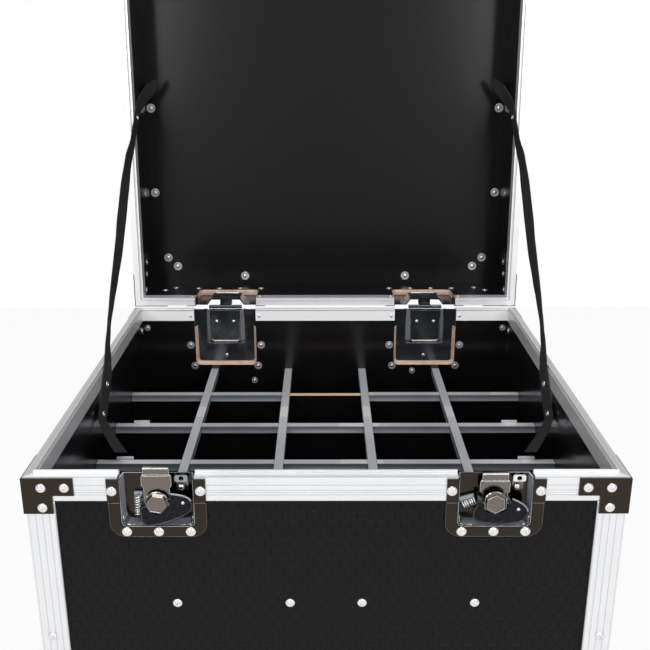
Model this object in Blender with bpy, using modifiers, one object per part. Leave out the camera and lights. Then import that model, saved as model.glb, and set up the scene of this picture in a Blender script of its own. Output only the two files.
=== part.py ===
# Mic stand case: a tall road case on casters, divided into twenty-five cells, with its lid open.
# Metres, +Z up, front towards -Y. The origin is on the floor, under the middle of the open case.

import bpy
import bmesh
from math import atan2, cos, hypot, pi, radians, sin, tan
from mathutils import Matrix, Vector

for old in list(bpy.data.objects):
    bpy.data.objects.remove(old, do_unlink=True)

# The case, over its aluminium sections
case_width = 0.610
case_depth = 0.570
base_height = 0.930
lid_inside = 0.110
open_angle = radians(93)

# Boards and the gap between pieces that touch
board = 0.009
bottom_board = 0.012
seat_gap = 0.0003
overrun = 0.020

# Aluminium sections
section_wall = 0.002
inner_wall = 0.0012
rim_outer_leg = 0.0272
rim_inner_leg = 0.0185
rim_gap = 0.0005
tongue_inset = 0.0086
tongue_width = 0.0019
tongue_height = 0.0030
groove_play = 0.0006
groove_deeper = 0.0008
lid_web = 0.0054
angle_leg = 0.030
angle_round = 0.0022

# Pressed steel sheet, and how far a fitting stands off the face
sheet = 0.0015

# Corner braces on the rim
brace_length = 0.0505
brace_arm = 0.0193
brace_upright = 0.0285
brace_height = 0.0410
brace_drop = 0.0013
brace_round = 0.0020
brace_rivet = 0.0035
brace_rivet_near = 0.0182
brace_rivet_far = 0.0417
brace_rivet_drop = 0.0114

# Ball corners
ball_radius = 0.0150
ball_centre = 0.0105
ball_leg = 0.050
ball_round = 0.0040

# Latches in the front
latch_share = 0.2808
latch_width = 0.0995
latch_drop = 0.0690
latch_round = 0.0160
latch_pan_width = 0.0735
latch_pan_drop = 0.0565
latch_pan_depth = 0.0135
latch_tab_drop = 0.0025
latch_draft = 0.0022
latch_pan_round = 0.0050
catch_drop = 0.0460
catch_pan_drop = 0.0340

# The latch's moving pieces
hub_drop = 0.0290
hub_radius = 0.0118
hub_cap_radius = 0.0095
hub_sides = 6
hub_front = 0.0040
hub_step = 0.0022
hub_back = 0.0009
crank_throw = 0.0047
crank_radius = 0.0032
crank_play = 0.0003
disc_radius = 0.0090
disc_thick = 0.0020
disc_gap = 0.0012
axle_radius = 0.0040
slide_front = 0.0062
slide_thick = 0.0018
slide_slope = radians(22)
hook_width = 0.0260
hook_lip = 0.0025
hook_lip_thick = 0.0020
hook_neck = 0.0070
ear_width = 0.0300
ear_height = 0.0130
slide_length = 0.0440
guide_width = 0.0030
guide_length = 0.0200
left_turn = radians(160)
wing_reach = 0.0278
wing_turns = (radians(54), radians(39), radians(24), radians(8))
wing_shoulder = 0.0060
wing_slot = 0.0012
wing_thick = 0.0016
wing_plane = 0.0008
wing_foot = 0.0190
wing_corner = 0.0030
hub_clear = 0.0008
knuckle_radius = 0.0022
knuckle_length = 0.0042
wing_pin_radius = 0.0011
catch_width = 0.0300
catch_thick = 0.0015
catch_gap = 0.0006
catch_reach = 0.0140
catch_foot = 0.0050

# Hinge dishes in the rear
hinge_share = 0.2633
hinge_out = 0.0022
hinge_width = 0.1260
hinge_drop = 0.1060
hinge_lid_drop = 0.0810
hinge_round = 0.0100
hinge_window = 0.0985
hinge_window_drop = 0.0946
hinge_lid_window_drop = 0.0640
hinge_pan_width = 0.0585
hinge_pan_drop = 0.0590
hinge_lid_pan_drop = 0.0510
hinge_pan_depth = 0.0090
hinge_pan_round = 0.0060
hinge_draft = 0.0065
window_round = 0.0070
barrel_radius = 0.0034
barrel_play = 0.0004
barrel_reach = 0.0265
barrel_middle = 0.0100
hinge_pin_radius = 0.0018
leaf_thick = 0.0015
leaf_drop = 0.0140
leaf_foot = 0.0050

# Dividers
cells_across = 5
cells_deep = 5
divider_drop = 0.101
trim_wall = 0.0012
trim_height = 0.0100
divider_gap = 0.0004
slot_play = 0.0004

# Side handles
handle_height = 0.600
handle_width = 0.150
handle_tall = 0.108
handle_round = 0.010
handle_pan_width = 0.126
handle_pan_tall = 0.084
handle_pan_depth = 0.0125
handle_draft = 0.003
bail_radius = 0.0032
bail_half = 0.0500
bail_drop = 0.0300
bail_pivot_up = 0.0240
bail_bend = 0.0080
bail_clear = 0.0008
grip_radius = 0.0055
grip_half = 0.0400
lug_width = 0.0060
lug_radius = 0.0050
notch_play = 0.0020

# Casters
caster_height = 0.128
wheel_radius = 0.050
wheel_width = 0.032
tyre_round = 0.008
tyre_depth = 0.011
hub_inset = 0.003
wheel_bore = 0.0065
caster_axle = 0.0060
trail = 0.034
plate_length = 0.095
plate_width = 0.078
plate_thick = 0.0032
plate_edge = 0.006
plate_round = 0.008
race_radius = 0.034
race_height = 0.011
race_round = 0.003
fork_wall = 0.003
fork_play = 0.0035
fork_foot = 0.013
fork_top = 0.027
king_radius = 0.0075
axle_nut = 0.009
axle_nut_thick = 0.005

# Straps between lid and base
strap_width = 0.025
strap_thick = 0.0016
strap_gap = 0.0006
strap_lid_along = 0.301
strap_lid_deep = 0.022
strap_base_from_rear = 0.284
strap_base_drop = 0.021
strap_tail_up = 0.058
strap_tail_down = 0.034
strap_tail_out = 0.016
strap_fold = 0.022
strap_bulge = 0.001
strap_twist = radians(20)

# Places that follow from the sizes above
swap_x_and_y = Matrix(((0, 1, 0, 0), (1, 0, 0, 0), (0, 0, 1, 0), (0, 0, 0, 1)))
swap_y_and_z = Matrix(((1, 0, 0, 0), (0, 0, 1, 0), (0, 1, 0, 0), (0, 0, 0, 1)))
half_width = case_width / 2
half_depth = case_depth / 2
latch_x = case_width * latch_share
hinge_x = case_width * hinge_share
panel_inset = section_wall + seat_gap
inner_inset = panel_inset + board
rim_width = inner_inset + seat_gap + inner_wall
lid_height = lid_inside + board + panel_inset
base_z = caster_height
rim_z = base_z + base_height
lid_z = rim_z + rim_gap
pin_z = rim_z + rim_gap / 2
lid_reach = lid_height * sin(open_angle) - (case_depth + hinge_out) * cos(open_angle)
case_y = -(lid_reach + sheet + hinge_out - hub_front) / 2
front_y = case_y - half_depth
rear_y = case_y + half_depth
pin_y = rear_y + hinge_out
window_half = latch_pan_width / 2 + sheet + seat_gap
floor_z = base_z + panel_inset + bottom_board
inside_width = case_width - 2 * inner_inset
inside_depth = case_depth - 2 * inner_inset
trim_width = board + 2 * trim_wall
divider_top = rim_z - divider_drop


def new_collection(name):
    made = bpy.data.collections.new(name)
    bpy.context.scene.collection.children.link(made)
    return made


parts = new_collection("mic_stand_case")
cutters = new_collection("cutters")


def finish(name, colour, roughness, metallic):
    made = bpy.data.materials.new(name)
    made.use_nodes = True
    shader = made.node_tree.nodes["Principled BSDF"]
    shader.inputs["Base Color"].default_value = (*colour, 1)
    shader.inputs["Roughness"].default_value = roughness
    shader.inputs["Metallic"].default_value = metallic
    return made


laminate = finish("black laminate", (0.012, 0.012, 0.013), 0.4, 0)
aluminium = finish("anodised aluminium", (0.82, 0.83, 0.85), 0.35, 1)
steel = finish("dark chrome", (0.30, 0.28, 0.26), 0.15, 1)
zinc = finish("zinc plated steel", (0.62, 0.63, 0.65), 0.3, 1)
rubber = finish("tyre rubber", (0.02, 0.02, 0.021), 0.7, 0)
webbing = finish("black webbing", (0.02, 0.02, 0.022), 0.85, 0)

# Shapes


def shape(bm, frame=Matrix()):
    """An object of this mesh, with the frame's placing in its points."""
    bmesh.ops.transform(bm, matrix=frame, verts=bm.verts)
    bmesh.ops.recalc_face_normals(bm, faces=bm.faces)
    mesh = bpy.data.meshes.new("shape")
    bm.to_mesh(mesh)
    bm.free()
    mesh.shade_smooth()
    mesh.set_sharp_from_angle(angle=radians(35))
    return bpy.data.objects.new("shape", mesh)


def block(low, high, frame=Matrix()):
    bm = bmesh.new()
    low, high = Vector(low), Vector(high)
    place = Matrix.Translation((low + high) / 2) @ Matrix.Diagonal((*(high - low), 1))
    bmesh.ops.create_cube(bm, size=1, matrix=place)
    return shape(bm, frame)


def tapered(front, back, frame=Matrix()):
    """A block between two upright rectangles, each given as (x low, x high, z low, z high, y)."""
    bm = bmesh.new()
    bmesh.ops.create_cube(bm, size=1)
    for vert in bm.verts:
        x_low, x_high, z_low, z_high, y = front if vert.co.y < 0 else back
        vert.co = (x_low if vert.co.x < 0 else x_high, y, z_low if vert.co.z < 0 else z_high)
    return shape(bm, frame)


def drum(radius, start, end, segments=24, tip=None):
    """A cylinder, or a cone with another radius at its tip, between two points."""
    start, end = Vector(start), Vector(end)
    turn = Vector((0, 0, 1)).rotation_difference(end - start).to_matrix().to_4x4()
    bm = bmesh.new()
    bmesh.ops.create_cone(
        bm,
        cap_ends=True,
        segments=segments,
        radius1=radius,
        radius2=radius if tip is None else tip,
        depth=(end - start).length,
        matrix=Matrix.Translation((start + end) / 2) @ turn,
    )
    return shape(bm)


def ball(radius, centre, segments=20):
    bm = bmesh.new()
    bmesh.ops.create_uvsphere(
        bm, u_segments=segments, v_segments=segments // 2, radius=radius, matrix=Matrix.Translation(centre)
    )
    return shape(bm)


def curve_mesh(curve, frame):
    """The curve's solid as a mesh, its caps welded on."""
    holder = bpy.data.objects.new("curve", curve)
    cutters.objects.link(holder)
    graph = bpy.context.evaluated_depsgraph_get()
    mesh = bpy.data.meshes.new_from_object(holder.evaluated_get(graph))
    bm = bmesh.new()
    bm.from_mesh(mesh)
    bmesh.ops.remove_doubles(bm, verts=bm.verts, dist=seat_gap / 100)
    bpy.data.objects.remove(holder)
    bpy.data.curves.remove(curve)
    bpy.data.meshes.remove(mesh)
    return shape(bm, frame)


def spline_of(curve, points, cyclic):
    spline = curve.splines.new("POLY")
    spline.points.add(len(points) - 1)
    for point, place in zip(spline.points, points):
        point.co = (*place, 1)
    spline.use_cyclic_u = cyclic


def prism(points, near, far, frame=Matrix()):
    """A flat outline in X and Z, as thick as from near to far along Y."""
    curve = bpy.data.curves.new("outline", "CURVE")
    curve.dimensions = "2D"
    curve.fill_mode = "BOTH"
    curve.extrude = (far - near) / 2
    spline_of(curve, [(x, z, 0) for x, z in points], True)
    upright = Matrix.Translation((0, (near + far) / 2, 0)) @ Matrix.Rotation(pi / 2, 4, "X")
    return curve_mesh(curve, frame @ upright)


def rod(points, radius, frame=Matrix()):
    """A round bar along the points."""
    curve = bpy.data.curves.new("rod", "CURVE")
    curve.dimensions = "3D"
    curve.bevel_depth = radius
    curve.bevel_resolution = 3
    curve.use_fill_caps = True
    spline_of(curve, points, False)
    return curve_mesh(curve, frame)


def spun(bm, steps):
    """Turns the profile in the mesh once round Z."""
    profile = bm.verts[:] + bm.edges[:]
    axis = (0, 0, 1)
    bmesh.ops.spin(bm, geom=profile, cent=(0, 0, 0), axis=axis, angle=2 * pi, steps=steps, use_merge=True)
    bmesh.ops.remove_doubles(bm, verts=bm.verts, dist=seat_gap / 100)


def turned(profile, steps, frame=Matrix()):
    """A profile of (radius, height) pairs, both ends on the axis, turned about Z."""
    bm = bmesh.new()
    verts = [bm.verts.new((radius, 0, height)) for radius, height in profile]
    for first, second in zip(verts, verts[1:]):
        bm.edges.new((first, second))
    spun(bm, steps)
    return shape(bm, frame)


def rounded(points, radii, steps=3):
    """The outline with each corner turned into an arc. The radii are one for all, or one each."""
    if not isinstance(radii, list):
        radii = [radii] * len(points)
    smooth = []
    for index, (corner, radius) in enumerate(zip(points, radii)):
        if not radius:
            smooth.append(corner)
            continue
        corner = Vector(corner)
        before = (Vector(points[index - 1]) - corner).normalized()
        after = (Vector(points[(index + 1) % len(points)]) - corner).normalized()
        half = before.angle(after) / 2
        centre = corner + (before + after).normalized() * radius / sin(half)
        start = corner + before * radius / tan(half) - centre
        end = corner + after * radius / tan(half) - centre
        sweep = atan2(start.x * end.y - start.y * end.x, start.dot(end))
        for step in range(steps + 1):
            angle = sweep * step / steps
            turn = Matrix(((cos(angle), -sin(angle)), (sin(angle), cos(angle))))
            smooth.append(tuple(centre + turn @ start))
    return smooth


def rectangle(left, right, low, high):
    return [(left, low), (right, low), (right, high), (left, high)]


def soften(body, width, segments=2):
    """Rounded edges."""
    bevel = body.modifiers.new("rounded edges", "BEVEL")
    bevel.width = width
    bevel.segments = segments
    bevel.limit_method = "ANGLE"
    return body


def work(body, operation, helpers):
    """Joins, cuts or crops the body with the helpers, which move with it."""
    for helper in helpers:
        cutters.objects.link(helper)
        helper.parent = body
        helper.hide_render = True
        helper.display_type = "WIRE"
        boolean = body.modifiers.new(operation.lower(), "BOOLEAN")
        boolean.operation = operation
        boolean.object = helper
    return body


def piece(name, body, material, parent=None, location=(0, 0, 0), rotation=(0, 0, 0)):
    """Names the body and puts it in its place among the parts."""
    body.name = name
    body.data.name = name
    body.data.materials.clear()
    body.data.materials.append(material)
    parts.objects.link(body)
    body.parent = parent
    body.location = location
    body.rotation_euler = rotation
    return body


def join(body, *helpers):
    return work(body, "UNION", helpers)


def cut(body, *helpers):
    return work(body, "DIFFERENCE", helpers)


def crop(body, *helpers):
    return work(body, "INTERSECT", helpers)


# The lid is drawn shut. Its pivot on the hinge line then holds it open.
lid_pivot = bpy.data.objects.new("lid_pivot", None)
parts.objects.link(lid_pivot)
lid_pivot.location = (0, pin_y, pin_z)
lid_pivot.rotation_euler = (-open_angle, 0, 0)


def lid_piece(name, body, material):
    return piece(name, body, material, lid_pivot, (0, -pin_y, -pin_z))


# Frames for what is let into a wall: X along the wall, Y into it, Z up from the rim's plane
front_frame = Matrix.Translation((0, front_y, rim_z))
rear_frame = Matrix.Translation((0, rear_y, rim_z)) @ Matrix.Diagonal((1, -1, 1, 1))
lid_front_frame = Matrix.Translation((0, front_y, lid_z)) @ Matrix.Diagonal((1, 1, -1, 1))
lid_rear_frame = Matrix.Translation((0, rear_y, lid_z)) @ Matrix.Diagonal((1, -1, -1, 1))


def along(frame, x):
    return frame @ Matrix.Translation((x, 0, 0))


# Aluminium sections


def mitred(profile, plane_z, up):
    """A section of (inset, height) points carried round the mouth, mitred at the corners."""
    bm = bmesh.new()
    verts = [bm.verts.new((half_width - inset, half_width - inset, height)) for inset, height in profile]
    for first, second in zip(verts, verts[1:] + verts[:1]):
        bm.edges.new((first, second))
    spun(bm, 4)
    for vert in bm.verts:
        vert.co.y += half_depth - half_width if vert.co.y > 0 else half_width - half_depth
    return shape(bm, Matrix.Translation((0, case_y, plane_z)) @ Matrix.Diagonal((1, 1, up, 1)))


def base_rim():
    tongue_end = tongue_inset + tongue_width
    return mitred(
        [
            (0, -rim_outer_leg),
            (0, 0),
            (tongue_inset, 0),
            (tongue_inset, tongue_height),
            (tongue_end, tongue_height),
            (tongue_end, 0),
            (rim_width, 0),
            (rim_width, -rim_inner_leg),
            (rim_width - inner_wall, -rim_inner_leg),
            (rim_width - inner_wall, -section_wall),
            (section_wall, -section_wall),
            (section_wall, -rim_outer_leg),
        ],
        rim_z,
        1,
    )


def lid_rim():
    groove_start = tongue_inset - groove_play
    groove_end = tongue_inset + tongue_width + groove_play
    groove_floor = -tongue_height - groove_deeper
    return mitred(
        [
            (0, -rim_outer_leg),
            (0, 0),
            (groove_start, 0),
            (groove_start, groove_floor),
            (groove_end, groove_floor),
            (groove_end, 0),
            (rim_width, 0),
            (rim_width, -rim_inner_leg),
            (rim_width - inner_wall, -rim_inner_leg),
            (rim_width - inner_wall, -lid_web),
            (section_wall, -lid_web),
            (section_wall, -rim_outer_leg),
        ],
        lid_z,
        -1,
    )


def rim_reach(x_low, x_high, y_low, y_high):
    """A block from below the lower rim to above the upper one."""
    reach = rim_outer_leg + overrun
    return block((x_low, y_low, rim_z - reach), (x_high, y_high, rim_z + reach))


def rim_middle(rim, x_half, front):
    y_ends = (front_y - overrun, case_y) if front else (case_y, rear_y + overrun)
    return crop(rim, rim_reach(-x_half, x_half, *y_ends))


def rim_side(rim, side, braces):
    """One side of the rim with its two corners, up to the latch and the hinge, with the rear brace on it."""
    far = -side * (half_width + overrun)
    front_end = side * (latch_x + window_half)
    rear_end = side * (hinge_x + hinge_window / 2)
    cut(
        rim,
        rim_reach(*sorted((front_end, far)), front_y - overrun, case_y),
        rim_reach(*sorted((rear_end, far)), case_y - overrun, rear_y + overrun),
    )
    return join(rim, *braces)


def brace(side, end, up):
    """A corner brace: an angle bent over the rim's corner, with an arm along each rail."""
    plane = rim_z if up < 0 else lid_z
    front, back, length = -seat_gap - sheet, -seat_gap, brace_length
    corner = Matrix.Translation((side * half_width, case_y + end * half_depth, plane))
    on_end = corner @ Matrix.Diagonal((-side, -end, up, 1))
    on_side = on_end @ swap_x_and_y
    plan = [(front, front), (length, front), (length, back), (back, back), (back, length), (front, length)]
    low = brace_drop + brace_arm
    away = rectangle(brace_upright, length + overrun, low, brace_height + overrun)
    outline = rounded(away, [brace_round, 0, 0, 0])
    return cut(
        prism(plan, brace_drop, brace_height, on_end @ swap_y_and_z),
        prism(outline, front - overrun, back + overrun, on_end),
        prism(outline, front - overrun, back + overrun, on_side),
    )


def riveted_brace(side, end, up):
    """A brace with the rivets that hold it to the rim."""
    plane = rim_z if up < 0 else lid_z
    corner = Matrix.Translation((side * half_width, case_y + end * half_depth, plane))
    on_end = corner @ Matrix.Diagonal((-side, -end, up, 1))
    rivets = []
    for frame in (on_end, on_end @ swap_x_and_y):
        for x in (brace_rivet_near, brace_rivet_far):
            head = frame @ Vector((x, -seat_gap - sheet / 2, brace_rivet_drop))
            tail = frame @ Vector((x, section_wall / 2, brace_rivet_drop))
            rivets.append(drum(brace_rivet, head, tail, 12))
    return [brace(side, end, up), *rivets]


def edge_frame(bottom, top, closed_bottom):
    """Angles up the four corners and round the closed end, as one thin shell with windows in it."""
    low, high = min(bottom, top), max(bottom, top)
    shell = soften(
        block((-half_width, front_y, low), (half_width, rear_y, high)), angle_round
    )
    floor = section_wall if closed_bottom else -overrun
    roof = -overrun if closed_bottom else section_wall
    leg_floor = angle_leg if closed_bottom else -overrun
    leg_roof = -overrun if closed_bottom else angle_leg
    wall = section_wall
    return cut(
        shell,
        block(
            (wall - half_width, front_y + wall, low + floor),
            (half_width - wall, rear_y - wall, high - roof),
        ),
        block(
            (-half_width - overrun, front_y + angle_leg, low + leg_floor),
            (half_width + overrun, rear_y - angle_leg, high - leg_roof),
        ),
        block(
            (angle_leg - half_width, front_y - overrun, low + leg_floor),
            (half_width - angle_leg, rear_y + overrun, high - leg_roof),
        ),
        block(
            (angle_leg - half_width, front_y + angle_leg, low - overrun),
            (half_width - angle_leg, rear_y - angle_leg, high + overrun),
        ),
    )


def ball_corner(side, end, z, up, outside, inside):
    """A pressed corner: three rounded legs and a ball, between these distances from the case's faces."""
    corner = Matrix.Translation((side * half_width, case_y + end * half_depth, z))
    frame = corner @ Matrix.Diagonal((-side, -end, up, 1))
    shell = soften(block((-outside,) * 3, (ball_leg + ball_round,) * 3, frame), ball_round, 3)
    crop(shell, ball(ball_leg, frame @ Vector((0, 0, 0)), 22))
    join(shell, ball(ball_radius, frame @ Vector((ball_centre,) * 3), 16))
    return cut(shell, block((inside,) * 3, (ball_leg + overrun,) * 3, frame))


# Boards


def board_window(x, half, drop, frame):
    """A cutter for an opening in a board's edge at the rim, as deep as drop below the rim."""
    return block((-half, -overrun, -drop), (half, inner_inset + overrun, overrun), along(frame, x))


def hinge_opening(side, drop, frame):
    """The opening behind a hinge dish, with rounded lower corners and its inner edge chamfered."""
    place = along(frame, side * hinge_x)
    half = hinge_window / 2
    outline = rounded(rectangle(-half, half, -drop, overrun), [window_round, window_round, 0, 0])
    return [prism(outline, -overrun, inner_inset + overrun, place)]


def base_boards():
    top = rim_z - section_wall - seat_gap
    low = floor_z + seat_gap
    outer = half_width - panel_inset
    front = block((-outer, front_y + panel_inset, low), (outer, front_y + inner_inset, top))
    for side in (-1, 1):
        cut(front, board_window(side * latch_x, window_half, latch_pan_drop + sheet + seat_gap, front_frame))
    piece("base_front_board", front, laminate)
    rear = block((-outer, rear_y - inner_inset, low), (outer, rear_y - panel_inset, top))
    for side in (-1, 1):
        cut(rear, *hinge_opening(side, hinge_window_drop, rear_frame))
    piece("base_rear_board", rear, laminate)
    for side, name in ((-1, "left"), (1, "right")):
        wall = block(
            (side * outer, front_y + inner_inset + seat_gap, low),
            (side * (outer - board), rear_y - inner_inset - seat_gap, top),
        )
        cut(wall, handle_opening(side))
        piece(f"base_{name}_board", wall, laminate)
    floor = block(
        (-outer, front_y + panel_inset, base_z + panel_inset), (outer, rear_y - panel_inset, floor_z)
    )
    join(floor, *[caster_plate(side, end) for side in (-1, 1) for end in (-1, 1)])
    piece("base_bottom_board", floor, laminate)


def lid_boards():
    outer = half_width - panel_inset
    low = lid_z + lid_web + seat_gap
    top = lid_z + lid_inside
    walls = block((-outer, front_y + panel_inset, low), (outer, rear_y - panel_inset, top - seat_gap))
    hollow = half_width - inner_inset
    hollow_top = top + overrun
    cut(
        walls,
        block((-hollow, front_y + inner_inset, low - overrun), (hollow, rear_y - inner_inset, hollow_top)),
    )
    for side in (-1, 1):
        drop = catch_pan_drop + sheet + seat_gap
        cut(walls, board_window(side * latch_x, window_half, drop, lid_front_frame))
        cut(walls, *hinge_opening(side, hinge_lid_window_drop, lid_rear_frame))
    lid_piece("lid_wall_boards", walls, laminate)
    roof = block((-outer, front_y + panel_inset, top), (outer, rear_y - panel_inset, top + board))
    lid_piece("lid_top_board", roof, laminate)


# Dividers


def divider_places(inside, count):
    """The middles of the boards that part the inside into equal cells."""
    clear = (inside - (count - 1) * trim_width) / count
    return [-inside / 2 + (index + 1) * (clear + trim_width) - trim_width / 2 for index in range(count - 1)]


def divider(length, slot_places, slot_from_top, frame, bare=None):
    """A board with a trim along its top, slotted where it crosses the others. X runs along it."""
    half = length / 2 - divider_gap
    low = floor_z + seat_gap
    middle = (low + divider_top) / 2
    body = block((-half, -board / 2, low), (half, board / 2, divider_top - trim_wall), frame)
    join(
        body,
        block(
            (-half, -trim_width / 2, divider_top - trim_height), (half, trim_width / 2, divider_top), frame
        ),
    )
    if bare:
        left, right = bare
        board_top = divider_top - trim_wall
        cut(
            body,
            block((left, -overrun, board_top), (right, overrun, divider_top + overrun), frame),
            block((left, board / 2, divider_top - overrun), (right, overrun, divider_top), frame),
            block((left, -overrun, divider_top - overrun), (right, -board / 2, divider_top), frame),
        )
    slot_half = (trim_width if slot_from_top else board) / 2 + slot_play
    for place in slot_places:
        if slot_from_top:
            cut(
                body,
                block(
                    (place - slot_half, -overrun, divider_top - trim_height - slot_play),
                    (place + slot_half, overrun, divider_top + overrun),
                    frame,
                ),
                block(
                    (place - board / 2 - slot_play, -overrun, middle - slot_play),
                    (place + board / 2 + slot_play, overrun, divider_top),
                    frame,
                ),
            )
        else:
            cut(
                body,
                block(
                    (place - slot_half, -overrun, low - overrun),
                    (place + slot_half, overrun, middle + slot_play),
                    frame,
                ),
            )
    return body


def dividers():
    columns = divider_places(inside_width, cells_across)
    rows = divider_places(inside_depth, cells_deep)
    turn = Matrix.Rotation(pi / 2, 4, "Z")
    for index, x in enumerate(columns):
        frame = Matrix.Translation((x, case_y, 0)) @ turn
        body = divider(inside_depth, rows, False, frame)
        piece(f"divider_front_to_rear_{index + 1}", body, laminate)
    for index, y in enumerate(rows):
        frame = Matrix.Translation((0, case_y + y, 0))
        last = index == len(rows) - 1
        middle = len(columns) // 2
        half = trim_width / 2
        bare = (columns[middle - 1] + half, columns[middle] - half) if last else None
        body = divider(inside_width, columns, True, frame, bare)
        cut(body, *[handle_notch(side) for side in (-1, 1)])
        piece(f"divider_side_to_side_{index + 1}", body, laminate)


# Dishes let into the walls


def pressed(outline, near, far, draft, frame):
    """A flat outline in X and Z that narrows towards its far end, as a pressing does."""
    wide = max(x for x, z in outline)
    deep = -min(z for x, z in outline)
    body = prism(outline, near, far)
    bm = bmesh.new()
    bm.from_mesh(body.data)
    bpy.data.objects.remove(body)
    for vert in bm.verts:
        if vert.co.y > (near + far) / 2:
            vert.co.x *= 1 - draft / wide
            vert.co.z *= 1 - draft / deep
    return shape(bm, frame)


def dish(sizes, drop, pan_drop, frame):
    """A pressed dish: its flange on the board, two tabs on the rail, and a pan open at the rim."""
    width, corner, opening, pan_width, pan_depth, draft, pan_round = sizes
    half, pan_half, edge = width / 2, pan_width / 2, opening - seat_gap
    step = rim_outer_leg + seat_gap
    on_board = panel_inset - seat_gap
    flange_front = on_board - sheet
    tab_front = -seat_gap - sheet
    lower = [(-half, -step), (-half, -drop), (half, -drop), (half, -step)]
    lower = rounded(lower, [0, corner, corner, 0], 6)
    outline = lower + [(edge, -step), (edge, -latch_tab_drop), (-edge, -latch_tab_drop), (-edge, -step)]
    flange = prism(outline, flange_front, on_board, frame)
    for side in (-1, 1):
        inner, outer = side * (edge - sheet / 2), side * half
        low, high = min(inner, outer), max(inner, outer)
        join(
            flange,
            block((low, tab_front, -step - sheet), (high, -seat_gap, -latch_tab_drop), frame),
            block((low, tab_front, -step - sheet), (high, on_board - sheet / 2, -step), frame),
        )
        low, high = min(inner, side * edge), max(inner, side * edge)
        strip_top = on_board - sheet / 2
        join(
            flange,
            block((low, tab_front + sheet / 2, -step - sheet), (high, strip_top, -latch_tab_drop), frame),
        )
    radii = [pan_round + sheet, pan_round + sheet, 0, 0]
    outside = rectangle(-pan_half - sheet, pan_half + sheet, -pan_drop - sheet, -latch_tab_drop)
    join(flange, pressed(rounded(outside, radii), flange_front, pan_depth + sheet, draft, frame))
    wider = draft * (flange_front + overrun) / (pan_depth - flange_front)
    hollow = rectangle(-pan_half - wider, pan_half + wider, -pan_drop - wider, overrun)
    radii = [pan_round + wider, pan_round + wider, 0, 0]
    return cut(flange, pressed(rounded(hollow, radii), -overrun, pan_depth, draft + wider, frame))


def latch_pan(drop, pan_drop, frame):
    sizes = (
        latch_width,
        latch_round,
        window_half,
        latch_pan_width,
        latch_pan_depth,
        latch_draft,
        latch_pan_round,
    )
    return dish(sizes, drop, pan_drop, frame)


# Latches

slide_back = slide_front + slide_thick
slide_rise = 2 * crank_throw
disc_front = slide_back + disc_gap
linear_error_share = 0.2105


def latch_dish(side, name):
    place = along(front_frame, side * latch_x)
    body = latch_pan(latch_drop, latch_pan_drop, place)
    lean = tan(slide_slope)
    high = -hub_drop
    low = high - guide_length
    inner = hook_width / 2 + seat_gap
    back = latch_pan_depth + sheet / 2
    guides = []
    for hand in (-1, 1):
        x_near, x_far = sorted((hand * inner, hand * (inner + guide_width)))
        guides.append(
            prism_sideways(
                [
                    (back, low),
                    (slide_back + seat_gap + (guide_length / 2) * lean, low),
                    (slide_back + seat_gap - (guide_length / 2) * lean, high),
                    (back, high),
                ],
                x_near,
                x_far,
                place,
            )
        )
    join(body, *guides)
    start = place @ Vector((0, disc_front, -hub_drop))
    end = place @ Vector((0, latch_pan_depth + overrun, -hub_drop))
    cut(body, drum(axle_radius + seat_gap, start, end, 20))
    return piece(f"latch_dish_{name}", body, steel)


def prism_sideways(points, x_low, x_high, frame):
    """An outline of (y, z) points, as thick as from one X to the other."""
    return prism(points, x_low, x_high, frame @ swap_x_and_y)


def slide_body():
    """The hook's plate, drawn in its lowest place. Its origin is on the crank's axis."""
    top = hub_drop
    front, back = slide_front, slide_back
    half, ear = hook_width / 2, ear_width / 2
    ear_top = top - hook_neck
    plate = prism(
        [
            (-half, top),
            (half, top),
            (half, ear_top),
            (ear, ear_top - (ear - half)),
            (ear, ear_top - ear_height),
            (half, ear_top - ear_height - (ear - half)),
            (half, top - slide_length),
            (-half, top - slide_length),
            (-half, ear_top - ear_height - (ear - half)),
            (-ear, ear_top - ear_height),
            (-ear, ear_top - (ear - half)),
            (-half, ear_top),
        ],
        front,
        back,
    )
    lip = block((-half, front, top - hook_lip_thick), (half, back + hook_lip, top))
    slot_half = crank_radius + crank_throw * linear_error_share + crank_play
    slot_reach = crank_throw + crank_radius + crank_play
    slot = prism(
        rounded(
            rectangle(-slot_reach, slot_reach, -crank_throw - slot_half, slot_half - crank_throw),
            crank_radius,
        ),
        front - overrun,
        back + overrun,
    )
    return cut(join(plate, lip), slot)


def rotor_body():
    """The crank: axle and disc behind the hook's plate, the pin through it, and the hub in front."""
    outwards = Matrix.Rotation(pi / 2, 4, "X") @ Matrix.Rotation(pi / hub_sides, 4, "Z")
    hub = turned(
        [
            (0, -hub_back),
            (hub_radius, -hub_back),
            (hub_radius, hub_front - hub_step),
            (hub_cap_radius, hub_front),
            (0, hub_front),
        ],
        hub_sides,
        outwards,
    )
    pin_y_place = -wing_plane
    reach = hub_radius + hub_clear + knuckle_length
    return join(
        hub,
        drum(crank_radius, (0, 0, -crank_throw), (0, disc_front + disc_thick / 2, -crank_throw), 20),
        drum(disc_radius, (0, disc_front, 0), (0, disc_front + disc_thick, 0), 28),
        drum(axle_radius, (0, disc_front + disc_thick / 2, 0), (0, latch_pan_depth + sheet, 0), 20),
        drum(wing_pin_radius, (-reach, pin_y_place, 0), (reach, pin_y_place, 0), 12),
    )


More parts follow.
